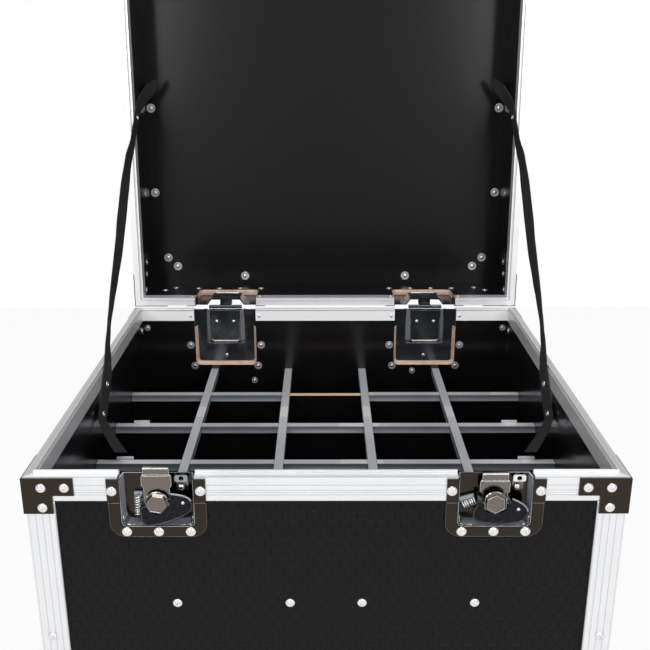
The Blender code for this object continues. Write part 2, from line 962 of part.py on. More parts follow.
def wing_body():
    """The folding wing, hanging below its hinge, which is its origin."""
    near, far = -wing_thick / 2, wing_thick / 2
    inner = hub_radius + hub_clear
    half = [(wing_reach * cos(turn), -wing_reach * sin(turn)) for turn in wing_turns]
    half.append((wing_foot, wing_shoulder))
    outline = half + [(-x, z) for x, z in reversed(half)]
    plate = prism(rounded(outline, wing_corner / 2, 2), near, far)
    clear = hook_width / 2 + guide_width + wing_thick / 2
    cut(
        plate,
        drum(inner, (0, near - overrun, 0), (0, far + overrun, 0), 28),
        block((-clear, near - overrun, wing_slot), (clear, far + overrun, wing_shoulder + overrun)),
    )
    for hand in (-1, 1):
        start = hand * inner
        end = hand * (inner + knuckle_length)
        join(plate, drum(knuckle_radius, (start, 0, 0), (end, 0, 0), 12))
        bore = wing_pin_radius + crank_play
        cut(plate, drum(bore, (start - hand * overrun, 0, 0), (end + hand * crank_play, 0, 0), 12))
    return plate


def latch(side, name, turn, folded_over):
    latch_dish(side, name)
    rise = slide_rise * turn / pi
    axis = (side * latch_x, front_y, rim_z - hub_drop)
    lifted = (axis[0], axis[1] - rise * tan(slide_slope), axis[2] + rise)
    piece(f"latch_hook_{name}", slide_body(), steel, None, lifted)
    rotor = piece(f"latch_crank_{name}", rotor_body(), steel, None, axis, (0, turn, 0))
    piece(
        f"latch_wing_{name}",
        wing_body(),
        steel,
        rotor,
        (0, -wing_plane, 0),
        (pi if folded_over else 0, 0, 0),
    )


def catch_dish(side, name):
    """The dish over a latch, with the lip that the hook draws down."""
    place = along(lid_front_frame, side * latch_x)
    body = latch_pan(catch_drop, catch_pan_drop, place)
    half = catch_width / 2
    lip_front = slide_back + catch_gap
    leg_front = slide_back + hook_lip + catch_gap / 2
    leg_back = leg_front + catch_thick
    lip_top = rim_gap + hook_lip_thick + seat_gap
    lip_low = lip_top + catch_thick
    join(
        body,
        block((-half, leg_front, -catch_reach), (half, leg_back, lip_low), place),
        block((-half, lip_front, lip_top), (half, leg_back, lip_low), place),
        block(
            (-half, leg_front, -catch_reach),
            (half, latch_pan_depth + sheet / 2, catch_foot - catch_reach),
            place,
        ),
    )
    return lid_piece(f"latch_catch_{name}", body, steel)


# Hinges


def hinge_dish(side, drop, pan_drop, frame, on_lid):
    """A hinge's dish with its share of the barrel, and a leaf from the barrel to the pan."""
    place = along(frame, side * hinge_x)
    sizes = (
        hinge_width,
        hinge_round,
        hinge_window / 2,
        hinge_pan_width,
        hinge_pan_depth,
        hinge_draft,
        hinge_pan_round,
    )
    body = dish(sizes, drop, pan_drop, place)
    pin = Vector((0, -hinge_out, rim_gap / 2))
    flat = hinge_pan_width / 2 - hinge_draft - sheet
    leaf_back = barrel_radius - hinge_out
    leaf_front = leaf_back - leaf_thick
    spans = [(-1, -barrel_reach, -barrel_middle, -flat), (1, barrel_middle, barrel_reach, flat)]
    if on_lid:
        middle = barrel_middle - barrel_play
        spans = [(0, -middle, middle, middle)]
    for hand, start, end, foot_end in spans:
        near_end = place @ (pin + Vector((start, 0, 0)))
        far_end = place @ (pin + Vector((end, 0, 0)))
        foot_low, foot_high = start, end
        if hand < 0:
            foot_low = foot_end
        if hand > 0:
            foot_high = foot_end
        foot_back = hinge_pan_depth + sheet / 2
        join(
            body,
            drum(barrel_radius, near_end, far_end, 20),
            block((start, leaf_front, -leaf_drop), (end, leaf_back, 0), place),
            block((foot_low, leaf_front, -leaf_drop), (foot_high, foot_back, leaf_foot - leaf_drop), place),
        )
    reach = barrel_reach + overrun if on_lid else barrel_reach - sheet
    radius = hinge_pin_radius + barrel_play if on_lid else hinge_pin_radius
    ends = [place @ (pin + Vector((hand * reach, 0, 0))) for hand in (-1, 1)]
    rod_or_bore = drum(radius, *ends, 16)
    return cut(body, rod_or_bore) if on_lid else join(body, rod_or_bore)


def hinges():
    for side, name in ((-1, "left"), (1, "right")):
        piece(
            f"hinge_dish_{name}",
            hinge_dish(side, hinge_drop, hinge_pan_drop, rear_frame, False),
            steel,
        )
        lid_piece(
            f"lid_hinge_dish_{name}",
            hinge_dish(side, hinge_lid_drop, hinge_lid_pan_drop, lid_rear_frame, True),
            steel,
        )


# Handles in the sides


def side_frame(side):
    """X along the side wall to the rear, Y into the case, Z up from the handle's middle."""
    return Matrix.Translation((side * half_width, case_y, base_z + handle_height)) @ Matrix(
        ((0, -side, 0, 0), (1, 0, 0, 0), (0, 0, 1, 0), (0, 0, 0, 1))
    )


def handle_rectangle(extra):
    half = handle_pan_width / 2 + extra
    tall = handle_pan_tall / 2 + extra
    return rectangle(-half, half, -tall, tall)


def handle_opening(side):
    return prism(handle_rectangle(sheet + seat_gap), -overrun, inner_inset + overrun, side_frame(side))


def handle_notch(side):
    """Room in a divider's end for the back of a handle's dish."""
    return prism(
        handle_rectangle(sheet + notch_play),
        inner_inset - overrun,
        panel_inset + handle_pan_depth + sheet + notch_play,
        side_frame(side),
    )


def handle(side, name):
    frame = side_frame(side)
    face = panel_inset - seat_gap
    half, tall = handle_width / 2, handle_tall / 2
    pan_half, pan_tall = handle_pan_width / 2, handle_pan_tall / 2
    deep = panel_inset + handle_pan_depth
    body = prism(rounded(rectangle(-half, half, -tall, tall), handle_round, 4), face - sheet, face, frame)
    join(
        body,
        tapered(
            (-pan_half - sheet, pan_half + sheet, -pan_tall - sheet, pan_tall + sheet, face - sheet / 2),
            (
                handle_draft - pan_half - sheet,
                pan_half + sheet - handle_draft,
                handle_draft - pan_tall - sheet,
                pan_tall + sheet - handle_draft,
                deep + sheet,
            ),
            frame,
        ),
    )
    back_half, back_tall = pan_half - handle_draft, pan_tall - handle_draft
    cut(
        body,
        tapered(
            (-pan_half, pan_half, -pan_tall, pan_tall, face - sheet - seat_gap),
            (-back_half, back_half, -back_tall, back_tall, deep),
            frame,
        ),
    )
    pivot = Vector((0, face + lug_radius, bail_pivot_up))
    for hand in (-1, 1):
        near = hand * (bail_half + bail_radius + bail_clear)
        far = near + hand * lug_width
        inner_end = frame @ (pivot + Vector((near, 0, 0)))
        outer_end = frame @ (pivot + Vector((far, 0, 0)))
        lug = drum(lug_radius, inner_end, outer_end, 16)
        foot = block(
            (min(near, far), pivot.y, pivot.z - lug_radius),
            (max(near, far), deep + sheet / 2, pivot.z + lug_radius),
            frame,
        )
        join(body, lug, foot)
        cut(
            body,
            drum(
                bail_radius + seat_gap,
                frame @ (pivot + Vector((near - hand * overrun, 0, 0))),
                frame @ (pivot + Vector((far - hand * sheet, 0, 0))),
                14,
            ),
        )
    piece(f"handle_dish_{name}", body, steel)
    end = bail_half + bail_radius + bail_clear + lug_width - sheet - bail_clear
    bend = [
        (-end, 0),
        (-bail_half, 0),
        (-bail_half, -bail_drop + bail_bend),
        (-bail_half + bail_bend, -bail_drop),
        (bail_half - bail_bend, -bail_drop),
        (bail_half, -bail_drop + bail_bend),
        (bail_half, 0),
        (end, 0),
    ]
    turn = frame.to_3x3().to_4x4()
    bail = rod([(x, 0, z) for x, z in bend], bail_radius, turn)
    start = turn @ Vector((-grip_half, 0, -bail_drop))
    stop = turn @ Vector((grip_half, 0, -bail_drop))
    join(bail, drum(grip_radius, start, stop, 16))
    piece(f"handle_bail_{name}", bail, rubber, None, frame @ pivot)


# Casters

caster_x = half_width - angle_leg - plate_edge - plate_length / 2
caster_out = half_depth - angle_leg - plate_edge - plate_width / 2
plate_z = base_z + panel_inset
race_top = plate_z - plate_thick - seat_gap


def caster_plate(side, end):
    x, y = side * caster_x, case_y + end * caster_out
    outline = rounded(
        rectangle(-plate_length / 2, plate_length / 2, -plate_width / 2, plate_width / 2), plate_round
    )
    flat = Matrix.Translation((x, y, 0)) @ Matrix.Rotation(-pi / 2, 4, "X")
    plate = prism(outline, -plate_z - sheet, plate_thick - plate_z, flat)
    return plate


def caster(side, end, name):
    """A swivel fork with its king pin in the plate, and its wheel."""
    axle_z = wheel_radius
    fork_half = wheel_width / 2 + fork_play
    swivel = (side * caster_x, case_y + end * caster_out, race_top)
    low = axle_z - race_top
    race = turned(
        [
            (0, 0),
            (race_radius - race_round, 0),
            (race_radius, -race_round),
            (race_radius, -race_height + race_round),
            (race_radius - race_round, -race_height),
            (0, -race_height),
        ],
        24,
    )
    bridge_low = -race_height - fork_wall
    cheeks = []
    for hand in (-1, 1):
        inner, outer = sorted((hand * fork_half, hand * (fork_half + fork_wall)))
        outline = [
            (-fork_top, bridge_low),
            (-fork_top, -race_height + race_round),
            (fork_top, -race_height + race_round),
            (trail + fork_foot, low),
        ]
        foot = [
            (trail + fork_foot * cos(angle), low - fork_foot * sin(angle))
            for angle in (pi * step / 6 for step in range(1, 6))
        ]
        cheeks.append(prism(outline + foot + [(trail - fork_foot, low)], inner, outer, swap_x_and_y))
    outside = fork_half + fork_wall
    bridge = block((-outside, -fork_top, bridge_low), (outside, fork_top, race_round - race_height))
    reach = outside + axle_nut_thick
    join(
        race,
        bridge,
        *cheeks,
        drum(caster_axle, (-outside, trail, low), (outside, trail, low), 16),
        drum(axle_nut, (-reach, trail, low), (-fork_half - fork_wall / 2, trail, low), 6),
        drum(axle_nut, (fork_half + fork_wall / 2, trail, low), (reach, trail, low), 6),
    )
    fork = piece(f"caster_fork_{name}", race, zinc, None, swivel)
    half = wheel_width / 2
    tyre = wheel_radius - tyre_depth
    wheel = turned(
        [
            (wheel_bore, -half + hub_inset),
            (tyre - hub_inset, -half + hub_inset),
            (tyre, -half),
            (wheel_radius - tyre_round, -half),
            (wheel_radius, -half + tyre_round),
            (wheel_radius, half - tyre_round),
            (wheel_radius - tyre_round, half),
            (tyre, half),
            (tyre - hub_inset, half - hub_inset),
            (wheel_bore, half - hub_inset),
            (wheel_bore, -half + hub_inset),
        ],
        40,
        Matrix.Rotation(pi / 2, 4, "Y"),
    )
    piece(f"caster_wheel_{name}", wheel, rubber, fork, (0, trail, low))


# Straps


def strap_line(side):
    """Points down a strap from its tail in the lid to its tail in the base, with their twist and bulge."""
    lean = open_angle - pi / 2
    lid_at = Vector((pin_y, pin_z)) + Vector(
        (
            strap_lid_along * sin(lean) + strap_lid_deep * cos(lean),
            strap_lid_along * cos(lean) - strap_lid_deep * sin(lean),
        )
    )
    base_at = Vector((rear_y - strap_base_from_rear, rim_z - strap_base_drop))
    run = base_at - lid_at
    way = run.normalized()
    start = lid_at - way * strap_tail_up
    low = base_at + way * (strap_fold * 2)
    steps = 12
    line = [(start, 0, strap_fold), (lid_at - way * strap_fold, 0, 0)]
    for step in range(steps + 1):
        share = step / steps
        twist = strap_twist * sin(2 * pi * share) ** 2
        line.append((lid_at + run * share, twist, strap_bulge * sin(pi * share) ** 2))
    line.append((low, 0, 0))
    tail_steps = 5
    for step in range(1, tail_steps + 1):
        share = step / tail_steps
        tail = low + Vector((-strap_tail_out, -strap_tail_down)) * share
        line.append((tail, strap_twist * share, strap_fold * share))
    return line


def strap(side, name):
    """A flat webbing strap, swept as a strip and given its thickness."""
    line = strap_line(side)
    wall = half_width - rim_width - strap_gap - strap_thick / 2
    bm = bmesh.new()
    rows = []
    for index, (place, twist, bulge) in enumerate(line):
        before = line[max(index - 1, 0)][0]
        after = line[min(index + 1, len(line) - 1)][0]
        way = (after - before).normalized()
        across = Vector((0, -way.y, way.x)) * cos(twist) + Vector((-side, 0, 0)) * sin(twist)
        out = strap_width / 2 * sin(twist) if twist else 0
        middle = Vector((side * (wall - bulge - out), place.x, place.y))
        rows.append([bm.verts.new(middle + across * strap_width * share) for share in (-0.5, 0.5)])
    for first, second in zip(rows, rows[1:]):
        bm.faces.new((first[0], second[0], second[1], first[1]))
    body = shape(bm)
    thick = body.modifiers.new("thickness", "SOLIDIFY")
    thick.thickness = strap_thick
    thick.offset = 0
    thick.use_even_offset = False
    return piece(f"strap_{name}", body, webbing)


def build():
    base_boards()
    lid_boards()
    dividers()
    piece(
        "base_rim_front",
        rim_middle(base_rim(), latch_x - window_half, True),
        aluminium,
    )
    piece("base_rim_rear", rim_middle(base_rim(), hinge_x - hinge_window / 2, False), aluminium)
    lid_piece("lid_rim_front", rim_middle(lid_rim(), latch_x - window_half, True), aluminium)
    lid_piece("lid_rim_rear", rim_middle(lid_rim(), hinge_x - hinge_window / 2, False), aluminium)
    for side, name in ((-1, "left"), (1, "right")):
        piece(f"base_rim_{name}", rim_side(base_rim(), side, riveted_brace(side, 1, -1)), aluminium)
        lid_braces = riveted_brace(side, 1, 1) + riveted_brace(side, -1, 1)
        lid_piece(f"lid_rim_{name}", rim_side(lid_rim(), side, lid_braces), aluminium)
        piece(f"corner_brace_{name}", brace(side, -1, -1), steel)
        handle(side, name)
        strap(side, name)
        catch_dish(side, name)
        for end, place in ((-1, "front"), (1, "rear")):
            corner = ball_corner(side, end, base_z, 1, seat_gap + sheet, -seat_gap)
            piece(f"ball_corner_{place}_{name}", corner, steel)
            caster(side, end, f"{place}_{name}")
    base_top = rim_z - rim_outer_leg - seat_gap
    piece("base_edge_frame", edge_frame(base_z, base_top, True), aluminium)
    lid_frame = edge_frame(lid_z + rim_outer_leg + seat_gap, lid_z + lid_height, False)
    corners = [
        ball_corner(side, end, lid_z + lid_height, -1, section_wall / 2, section_wall / 2)
        for side in (-1, 1)
        for end in (-1, 1)
    ]
    lid_piece("lid_edge_frame", join(lid_frame, *corners), aluminium)
    latch(-1, "left", left_turn, True)
    latch(1, "right", 0, False)
    hinges()


build()
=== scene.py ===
# Upright road case with its lid open: finishes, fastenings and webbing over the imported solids.
# Metres, +Z up, front towards -Y. The origin is on the floor, under the middle of the open case.

from math import atan2, cos, pi, radians, sin, sqrt, tan

import bmesh
import bpy
from mathutils import Matrix, Vector


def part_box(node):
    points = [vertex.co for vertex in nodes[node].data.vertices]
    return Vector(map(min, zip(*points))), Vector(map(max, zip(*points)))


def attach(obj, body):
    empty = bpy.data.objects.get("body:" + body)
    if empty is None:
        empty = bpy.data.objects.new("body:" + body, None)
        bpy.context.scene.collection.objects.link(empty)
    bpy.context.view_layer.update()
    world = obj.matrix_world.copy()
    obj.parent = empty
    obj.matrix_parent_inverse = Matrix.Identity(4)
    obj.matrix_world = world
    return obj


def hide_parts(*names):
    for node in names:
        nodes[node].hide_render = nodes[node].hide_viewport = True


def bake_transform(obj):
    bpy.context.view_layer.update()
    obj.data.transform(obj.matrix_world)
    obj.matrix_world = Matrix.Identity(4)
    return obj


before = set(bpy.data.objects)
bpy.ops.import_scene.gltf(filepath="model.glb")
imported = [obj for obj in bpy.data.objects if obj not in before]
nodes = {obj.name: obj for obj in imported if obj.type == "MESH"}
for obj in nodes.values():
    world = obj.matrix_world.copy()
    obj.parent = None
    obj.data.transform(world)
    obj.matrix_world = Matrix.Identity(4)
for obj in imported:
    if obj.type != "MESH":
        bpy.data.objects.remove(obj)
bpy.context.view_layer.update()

# where the case stands
edgeLow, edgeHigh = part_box("base_edge_frame")
halfWidth = edgeHigh.x
frontY, rearY = edgeLow.y, edgeHigh.y
caseY = (frontY + rearY) / 2
halfDepth = (rearY - frontY) / 2
railLeg = 0.0272      # the rails' outer leg, up to the rim's plane
seat = 0.0003         # the gap between pieces that touch
sheet = 0.0015        # pressed steel
baseZ = edgeLow.z
rimZ = edgeHigh.z + railLeg + seat
lidZ = rimZ + 0.0005
lidTop = lidZ + 0.1213
panelInset = 0.0023   # from the case's outside to a board
boardThick = 0.009
innerInset = panelInset + boardThick
flangeFace = panelInset - seat - sheet   # the outer face of a fitting's flange
tabFace = -seat - sheet                  # and of its tabs, which lie on the rail
rimWidth = 0.0128
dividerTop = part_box("divider_front_to_rear_1")[1].z
openAngle = radians(93)
ballReach = 0.0545    # how far the pressed corners reach along the edges
braceReach = 0.0512   # and the corner braces along the rim
angleMiddle = 0.0129  # from a corner to the rivets in its angle
pin = Vector((0, rearY + 0.0022, rimZ + 0.00025))   # the hinges' axis
latchX = 0.2808 * halfWidth * 2   # middle of a latch and of its catch
hingeX = 0.2633 * halfWidth * 2   # middle of a hinge

# lid pieces are drawn shut and then turned about the hinges' axis
openLid = Matrix.Translation(pin) @ Matrix.Rotation(-openAngle, 4, "X") @ Matrix.Translation(-pin)
swapYZ = Matrix(((1, 0, 0, 0), (0, 0, 1, 0), (0, 1, 0, 0), (0, 0, 0, 1)))

# frames for what sits on a wall: X along it, Y into the case, Z away from the rim's far side


def sideWall(side, plane, up=1, place=Matrix()):
    # X runs from the front to the rear, counted from the case's middle
    turn = Matrix(((0, -side, 0, 0), (1, 0, 0, 0), (0, 0, 1, 0), (0, 0, 0, 1)))
    middle = Matrix.Translation((side * halfWidth, caseY, plane))
    return place @ middle @ turn @ Matrix.Diagonal((1, 1, up, 1))


def fourWalls(plane, up=1, place=Matrix()):
    # the front, rear, left and right frames at one height, each with half its wall's length
    front = place @ Matrix.Translation((0, frontY, plane)) @ Matrix.Diagonal((1, 1, up, 1))
    rear = place @ Matrix.Translation((0, rearY, plane)) @ Matrix.Diagonal((1, -1, up, 1))
    sides = [(sideWall(side, plane, up, place), halfDepth) for side in (-1, 1)]
    return [(front, halfWidth), (rear, halfWidth), *sides]


caseWalls, lidWalls = fourWalls(rimZ), fourWalls(lidZ, -1, openLid)
bottomWalls, topWalls = fourWalls(baseZ), fourWalls(lidTop, 1, openLid)
frontWall, rearWall = caseWalls[0][0], caseWalls[1][0]
lidFront, lidRear = lidWalls[0][0], lidWalls[1][0]

# Shader sockets


class Socket:
    def __init__(self, finish, socket):
        self.finish = finish
        self.socket = socket

    def maths(self, operation, *values):
        return self.finish.node("ShaderNodeMath", {"operation": operation}, dict(enumerate(values)))("Value")

    def __add__(self, other):
        return self.maths("ADD", self, other)

    def __radd__(self, other):
        return self.maths("ADD", other, self)

    def __sub__(self, other):
        return self.maths("SUBTRACT", self, other)

    def __rsub__(self, other):
        return self.maths("SUBTRACT", other, self)

    def __mul__(self, other):
        return self.maths("MULTIPLY", self, other)

    def __rmul__(self, other):
        return self.maths("MULTIPLY", other, self)

    def __truediv__(self, other):
        return self.maths("DIVIDE", self, other)

    def __rtruediv__(self, other):
        return self.maths("DIVIDE", other, self)

    def __mod__(self, other):
        return self.maths("FLOORED_MODULO", self, other)

    def __lt__(self, other):
        return self.maths("LESS_THAN", self, other)

    def __gt__(self, other):
        return self.maths("GREATER_THAN", self, other)

    def __abs__(self):
        return self.maths("ABSOLUTE", self)

    def least(self, other):
        return self.maths("MINIMUM", self, other)

    def most(self, other):
        return self.maths("MAXIMUM", self, other)

    def sine(self):
        return self.maths("SINE", self)


class Finish:
    # one material, and the one way that nodes are put into it
    def __init__(self, name):
        self.material = bpy.data.materials.new(name)
        self.material.use_nodes = True
        self.tree = self.material.node_tree
        self.tree.nodes.clear()

    def node(self, kind, settings=None, inputs=None):
        made = self.tree.nodes.new(kind)
        for key, value in (settings or {}).items():
            if key == "stops":
                ramp = made.color_ramp
                while len(ramp.elements) < len(value):
                    ramp.elements.new(0.5)
                for element, (place, colour) in zip(ramp.elements, value):
                    element.position = place
                    element.color = (*colour, 1)
            else:
                setattr(made, key, value)
        for key, value in (inputs or {}).items():
            if isinstance(value, Socket):
                self.tree.links.new(value.socket, made.inputs[key])
            elif isinstance(value, (tuple, list)) and made.inputs[key].type == "RGBA" and len(value) == 3:
                made.inputs[key].default_value = (*value, 1)
            else:
                made.inputs[key].default_value = value
        return lambda output: Socket(self, made.outputs[output])

    def place(self):
        return self.node("ShaderNodeTexCoord")("Object")

    def shutPlace(self):
        # where a point of the open lid would be with the lid shut
        turn = Matrix.Rotation(openAngle, 3, "X")
        inputs = {"Vector": self.place(), "Rotation": (openAngle, 0, 0), "Location": pin - turn @ pin}
        return self.node("ShaderNodeMapping", None, inputs)("Vector")

    def facing(self):
        # how far the surface looks along each of the object's own axes
        split = self.node("ShaderNodeSeparateXYZ", None, {0: self.node("ShaderNodeTexCoord")("Normal")})
        return abs(split("X")), abs(split("Y")), abs(split("Z"))

    def axes(self, place=None):
        split = self.node("ShaderNodeSeparateXYZ", None, {0: place or self.place()})
        return split("X"), split("Y"), split("Z")

    def stretched(self, scale, place=None):
        inputs = {"Vector": place or self.place(), "Scale": scale}
        return self.node("ShaderNodeMapping", None, inputs)("Vector")

    def noise(self, scale, detail=3, roughness=0.55, place=None):
        inputs = {"Vector": place or self.place(), "Scale": scale, "Detail": detail, "Roughness": roughness}
        return self.node("ShaderNodeTexNoise", None, inputs)("Fac")

    def smooth(self, value, low, high, start=0.0, stop=1.0):
        inputs = {"Value": value, "From Min": low, "From Max": high, "To Min": start, "To Max": stop}
        return self.node("ShaderNodeMapRange", {"interpolation_type": "SMOOTHSTEP"}, inputs)("Result")

    def mix(self, factor, first, second, blend="MIX"):
        inputs = {"Factor": factor, 6: first, 7: second}
        return self.node("ShaderNodeMix", {"data_type": "RGBA", "blend_type": blend}, inputs)(2)

    def bump(self, height, strength, distance, normal=None):
        inputs = {"Height": height, "Strength": strength, "Distance": distance}
        if normal:
            inputs["Normal"] = normal
        return self.node("ShaderNodeBump", None, inputs)("Normal")

    def done(self, **inputs):
        named = {key.replace("_", " ").title().replace("Ior", "IOR"): value for key, value in inputs.items()}
        surface = self.node("ShaderNodeBsdfPrincipled", None, named)("BSDF")
        self.node("ShaderNodeOutputMaterial", None, {"Surface": surface})
        return self.material


# Finishes

laminateLook = {
    "colour": (0.0042, 0.0040, 0.0042),
    "embossed": (0.0072, 0.0068, 0.0068),
    "scuff": (0.016, 0.015, 0.015),
    "roughness": 0.25,
    "specular": 0.11,
    "hexPitch": 0.0127,
    "gloss": 0.95,
    "lidGloss": 0.25,
    "glossRoughness": 0.17,
    "ply": (0.72, 0.55, 0.39),
    "plyDark": (0.46, 0.32, 0.20),
    "plyThick": 0.0026,
    "plyRoughness": 0.7,
    "cutShade": (0.012, 0.009, 0.007),
    "routed": (0.62, 0.44, 0.36),
    "stain": (0.24, 0.14, 0.10),
}


def hexCells(x, y):
    # 0 in the middle of each hexagon, 0.5 along its sides
    tall = sqrt(3)
    ax, ay = x % 1 - 0.5, y % tall - tall / 2
    bx, by = (x + 0.5) % 1 - 0.5, (y + tall / 2) % tall - tall / 2
    first = (ax * ax + ay * ay) < (bx * bx + by * by)
    gx, gy = abs(bx + first * (ax - bx)), abs(by + first * (ay - by))
    return gx.most(gx * 0.5 + gy * (tall / 2))


def plywood(made, place, depth):
    # bare edge of a board: plies stacked through its depth, with a long grain
    look = laminateLook
    plies = made.smooth((depth * (2 * pi / look["plyThick"])).sine(), -0.35, 0.5)
    grain = made.noise(160, 5, 0.65, made.stretched((0.25, 0.25, 2.2), place))
    blotch = made.noise(38, 3, 0.6, place)
    tone = (plies * 0.55 + grain * 0.5 + blotch * 0.35 - 0.2).most(0).least(1)
    return made.mix(tone, look["plyDark"], look["ply"])


def boardFinish(name, lid):
    # embossed outside, smooth and glossy inside, and bare plywood where a board is cut, painted dark away
    # from the inner face as painted shade in the cut
    look = laminateLook
    made = Finish(name)
    place = made.shutPlace() if lid else made.place()
    x, y, z = made.axes(place)
    depthX, depthY = abs(x), abs(y - caseY)
    skin = 0.0002
    onSide = depthX > halfWidth - panelInset - skin
    onFront = depthY > halfDepth - panelInset - skin
    onEnd = z > lidTop - panelInset - skin if lid else z < baseZ + panelInset + skin
    outside = onSide.most(onFront).most(onEnd)
    u = x + onSide * (y - x)
    v = z + onEnd * (y - z)
    dimple = made.smooth(hexCells(u / look["hexPitch"], v / look["hexPitch"]), 0.36, 0.47)
    raised = outside * (1 - dimple)
    grain = made.noise(900, 2, 0.5, place)
    rough = made.noise(26, 4, 0.6, place)
    scuffs = made.smooth(made.noise(7, 6, 0.72, made.stretched((1, 1, 3), place)), 0.62, 0.78)
    black = made.mix(scuffs * 0.30, made.mix(raised, look["colour"], look["embossed"]), look["scuff"])
    bareX = (depthX > halfWidth - innerInset + skin) * (depthX < halfWidth - panelInset - skin)
    bareY = (depthY > halfDepth - innerInset + skin) * (depthY < halfDepth - panelInset - skin)
    bare = bareX.most(bareY) * (1 - outside)
    fromInside = (depthX - (halfWidth - innerInset)).most(depthY - (halfDepth - innerInset))
    ply = plywood(made, place, depthX.most(depthY))
    # painted shade: a cut edge is painted dark away from the inner face
    cut = made.mix(made.smooth(fromInside, 0.0012, 0.0024), ply, look["cutShade"])
    roughness = look["roughness"] + rough * 0.10 + outside * 0.10 + scuffs * 0.12
    return made.done(
        base_color=made.mix(bare, black, cut),
        roughness=roughness * (1 - bare) + bare * look["plyRoughness"],
        normal=made.bump(raised + grain * 0.12 * outside + rough * 0.02, 0.8, 0.0006),
        specular_ior_level=look["specular"],
        coat_weight=(1 - outside) * (1 - bare) * (look["lidGloss"] if lid else look["gloss"]),
        coat_roughness=look["glossRoughness"],
    )


def brushed(made, place, along, tight=900):
    # fine scratches that run along one axis
    scale = [tight, tight, tight]
    scale[along] = 9
    return made.noise(1, 3, 0.6, made.stretched(scale, place))


trimLook = {
    "colour": (0.68, 0.70, 0.72),
    "side": (0.66, 0.71, 0.78),
    "underTop": (0.24, 0.27, 0.31),
    "glow": (0.95, 0.96, 0.98),
    "glowHalf": 0.085,
    "bright": (0.95, 0.95, 0.94),
    "nick": (0.97, 0.97, 0.96),
    "dull": (0.30, 0.31, 0.33),
    "tall": 0.0100,
    "metallic": 0.50,
    "roughness": 0.28,
}


def dividerFinish(name, along, bareHalf=0.0):
    # a black board under its silver trim; for bareHalf to both sides of the middle the trim is missing
    look, trims = laminateLook, trimLook
    made = Finish(name)
    place = made.place()
    x, y, z = made.axes(place)
    trim = z > dividerTop - trims["tall"] - 0.0001
    ply = None
    if bareHalf:
        inBay = abs(x) < bareHalf
        trim = trim * (1 - inBay)
        ply = (z > dividerTop - 0.0014) * inBay
    scratches = brushed(made, place, along)
    stains = made.noise(31, 4, 0.6, place)
    wear = made.smooth(made.noise(9, 5, 0.7, place), 0.60, 0.80)
    black = made.mix(wear * 0.3, look["colour"], look["scuff"])
    lengthwise = [9.0, 9.0, 9.0]
    lengthwise[1 - along] = 0.01
    patches = made.noise(1, 2, 0.5, made.stretched(lengthwise, place))
    # painted light on the trim's sides: painted shade just under the top edge, fading to a bluish painted
    # reflection lower down
    fall = made.smooth(z, dividerTop - 0.0020, dividerTop - 0.0095)
    side = made.mix(fall, trims["underTop"], trims["side"])
    # a painted highlight in the middle of the side-to-side trims
    glow = made.smooth(abs(x), trims["glowHalf"], 0.0) * fall if along == 0 else 0.0
    side = made.mix(glow, side, trims["glow"])
    # bright patches along the top: painted highlights
    top = made.mix(made.smooth(patches, 0.62, 0.64) * 0.7, trims["colour"], trims["bright"])
    metal = made.mix(made.facing()[2], side, top)
    across = [0.01, 0.01, 0.01]
    across[along] = 95
    nicks = made.smooth(made.noise(1, 1, 0.5, made.stretched(across, place)), 0.715, 0.735)
    metal = made.mix(nicks * 0.8, metal, trims["nick"])
    dull = made.mix(made.smooth(patches, 0.38, 0.62), trims["dull"], (0.5, 0.5, 0.5))
    metal = made.mix(0.55, metal, dull, "OVERLAY")
    metal = made.mix(stains * 0.2, metal, tuple(c * 0.7 for c in trims["colour"]))
    colour = made.mix(trim, black, metal)
    roughness = (0.30 + stains * 0.10) * (1 - trim) + trim * (trims["roughness"] + scratches * 0.12)
    if ply:
        colour = made.mix(ply, colour, plywood(made, place, y))
        roughness = roughness * (1 - ply) + ply * look["plyRoughness"]
    return made.done(
        base_color=colour,
        metallic=trim * trims["metallic"],
        roughness=roughness,
        normal=made.bump(scratches * trim + stains * 0.05, 0.25, 0.0002),
        specular_ior_level=look["specular"],
    )


aluminiumLook = {
    "colour": (0.86, 0.865, 0.875),
    "dull": (0.74, 0.745, 0.76),
    "dent": (0.50, 0.50, 0.51),
    "floor": (0.55, 0.56, 0.57),
    "sideTop": (0.40, 0.395, 0.38),
    "line": (0.30, 0.30, 0.31),
    "linePitch": 0.0042,
    "far": (0.97, 0.97, 0.98),
    "proud": 0.0007,
    "steel": (0.060, 0.052, 0.043),
    "steelRoughness": 0.14,
    "metallic": 0.55,
    "roughness": 0.33,
}


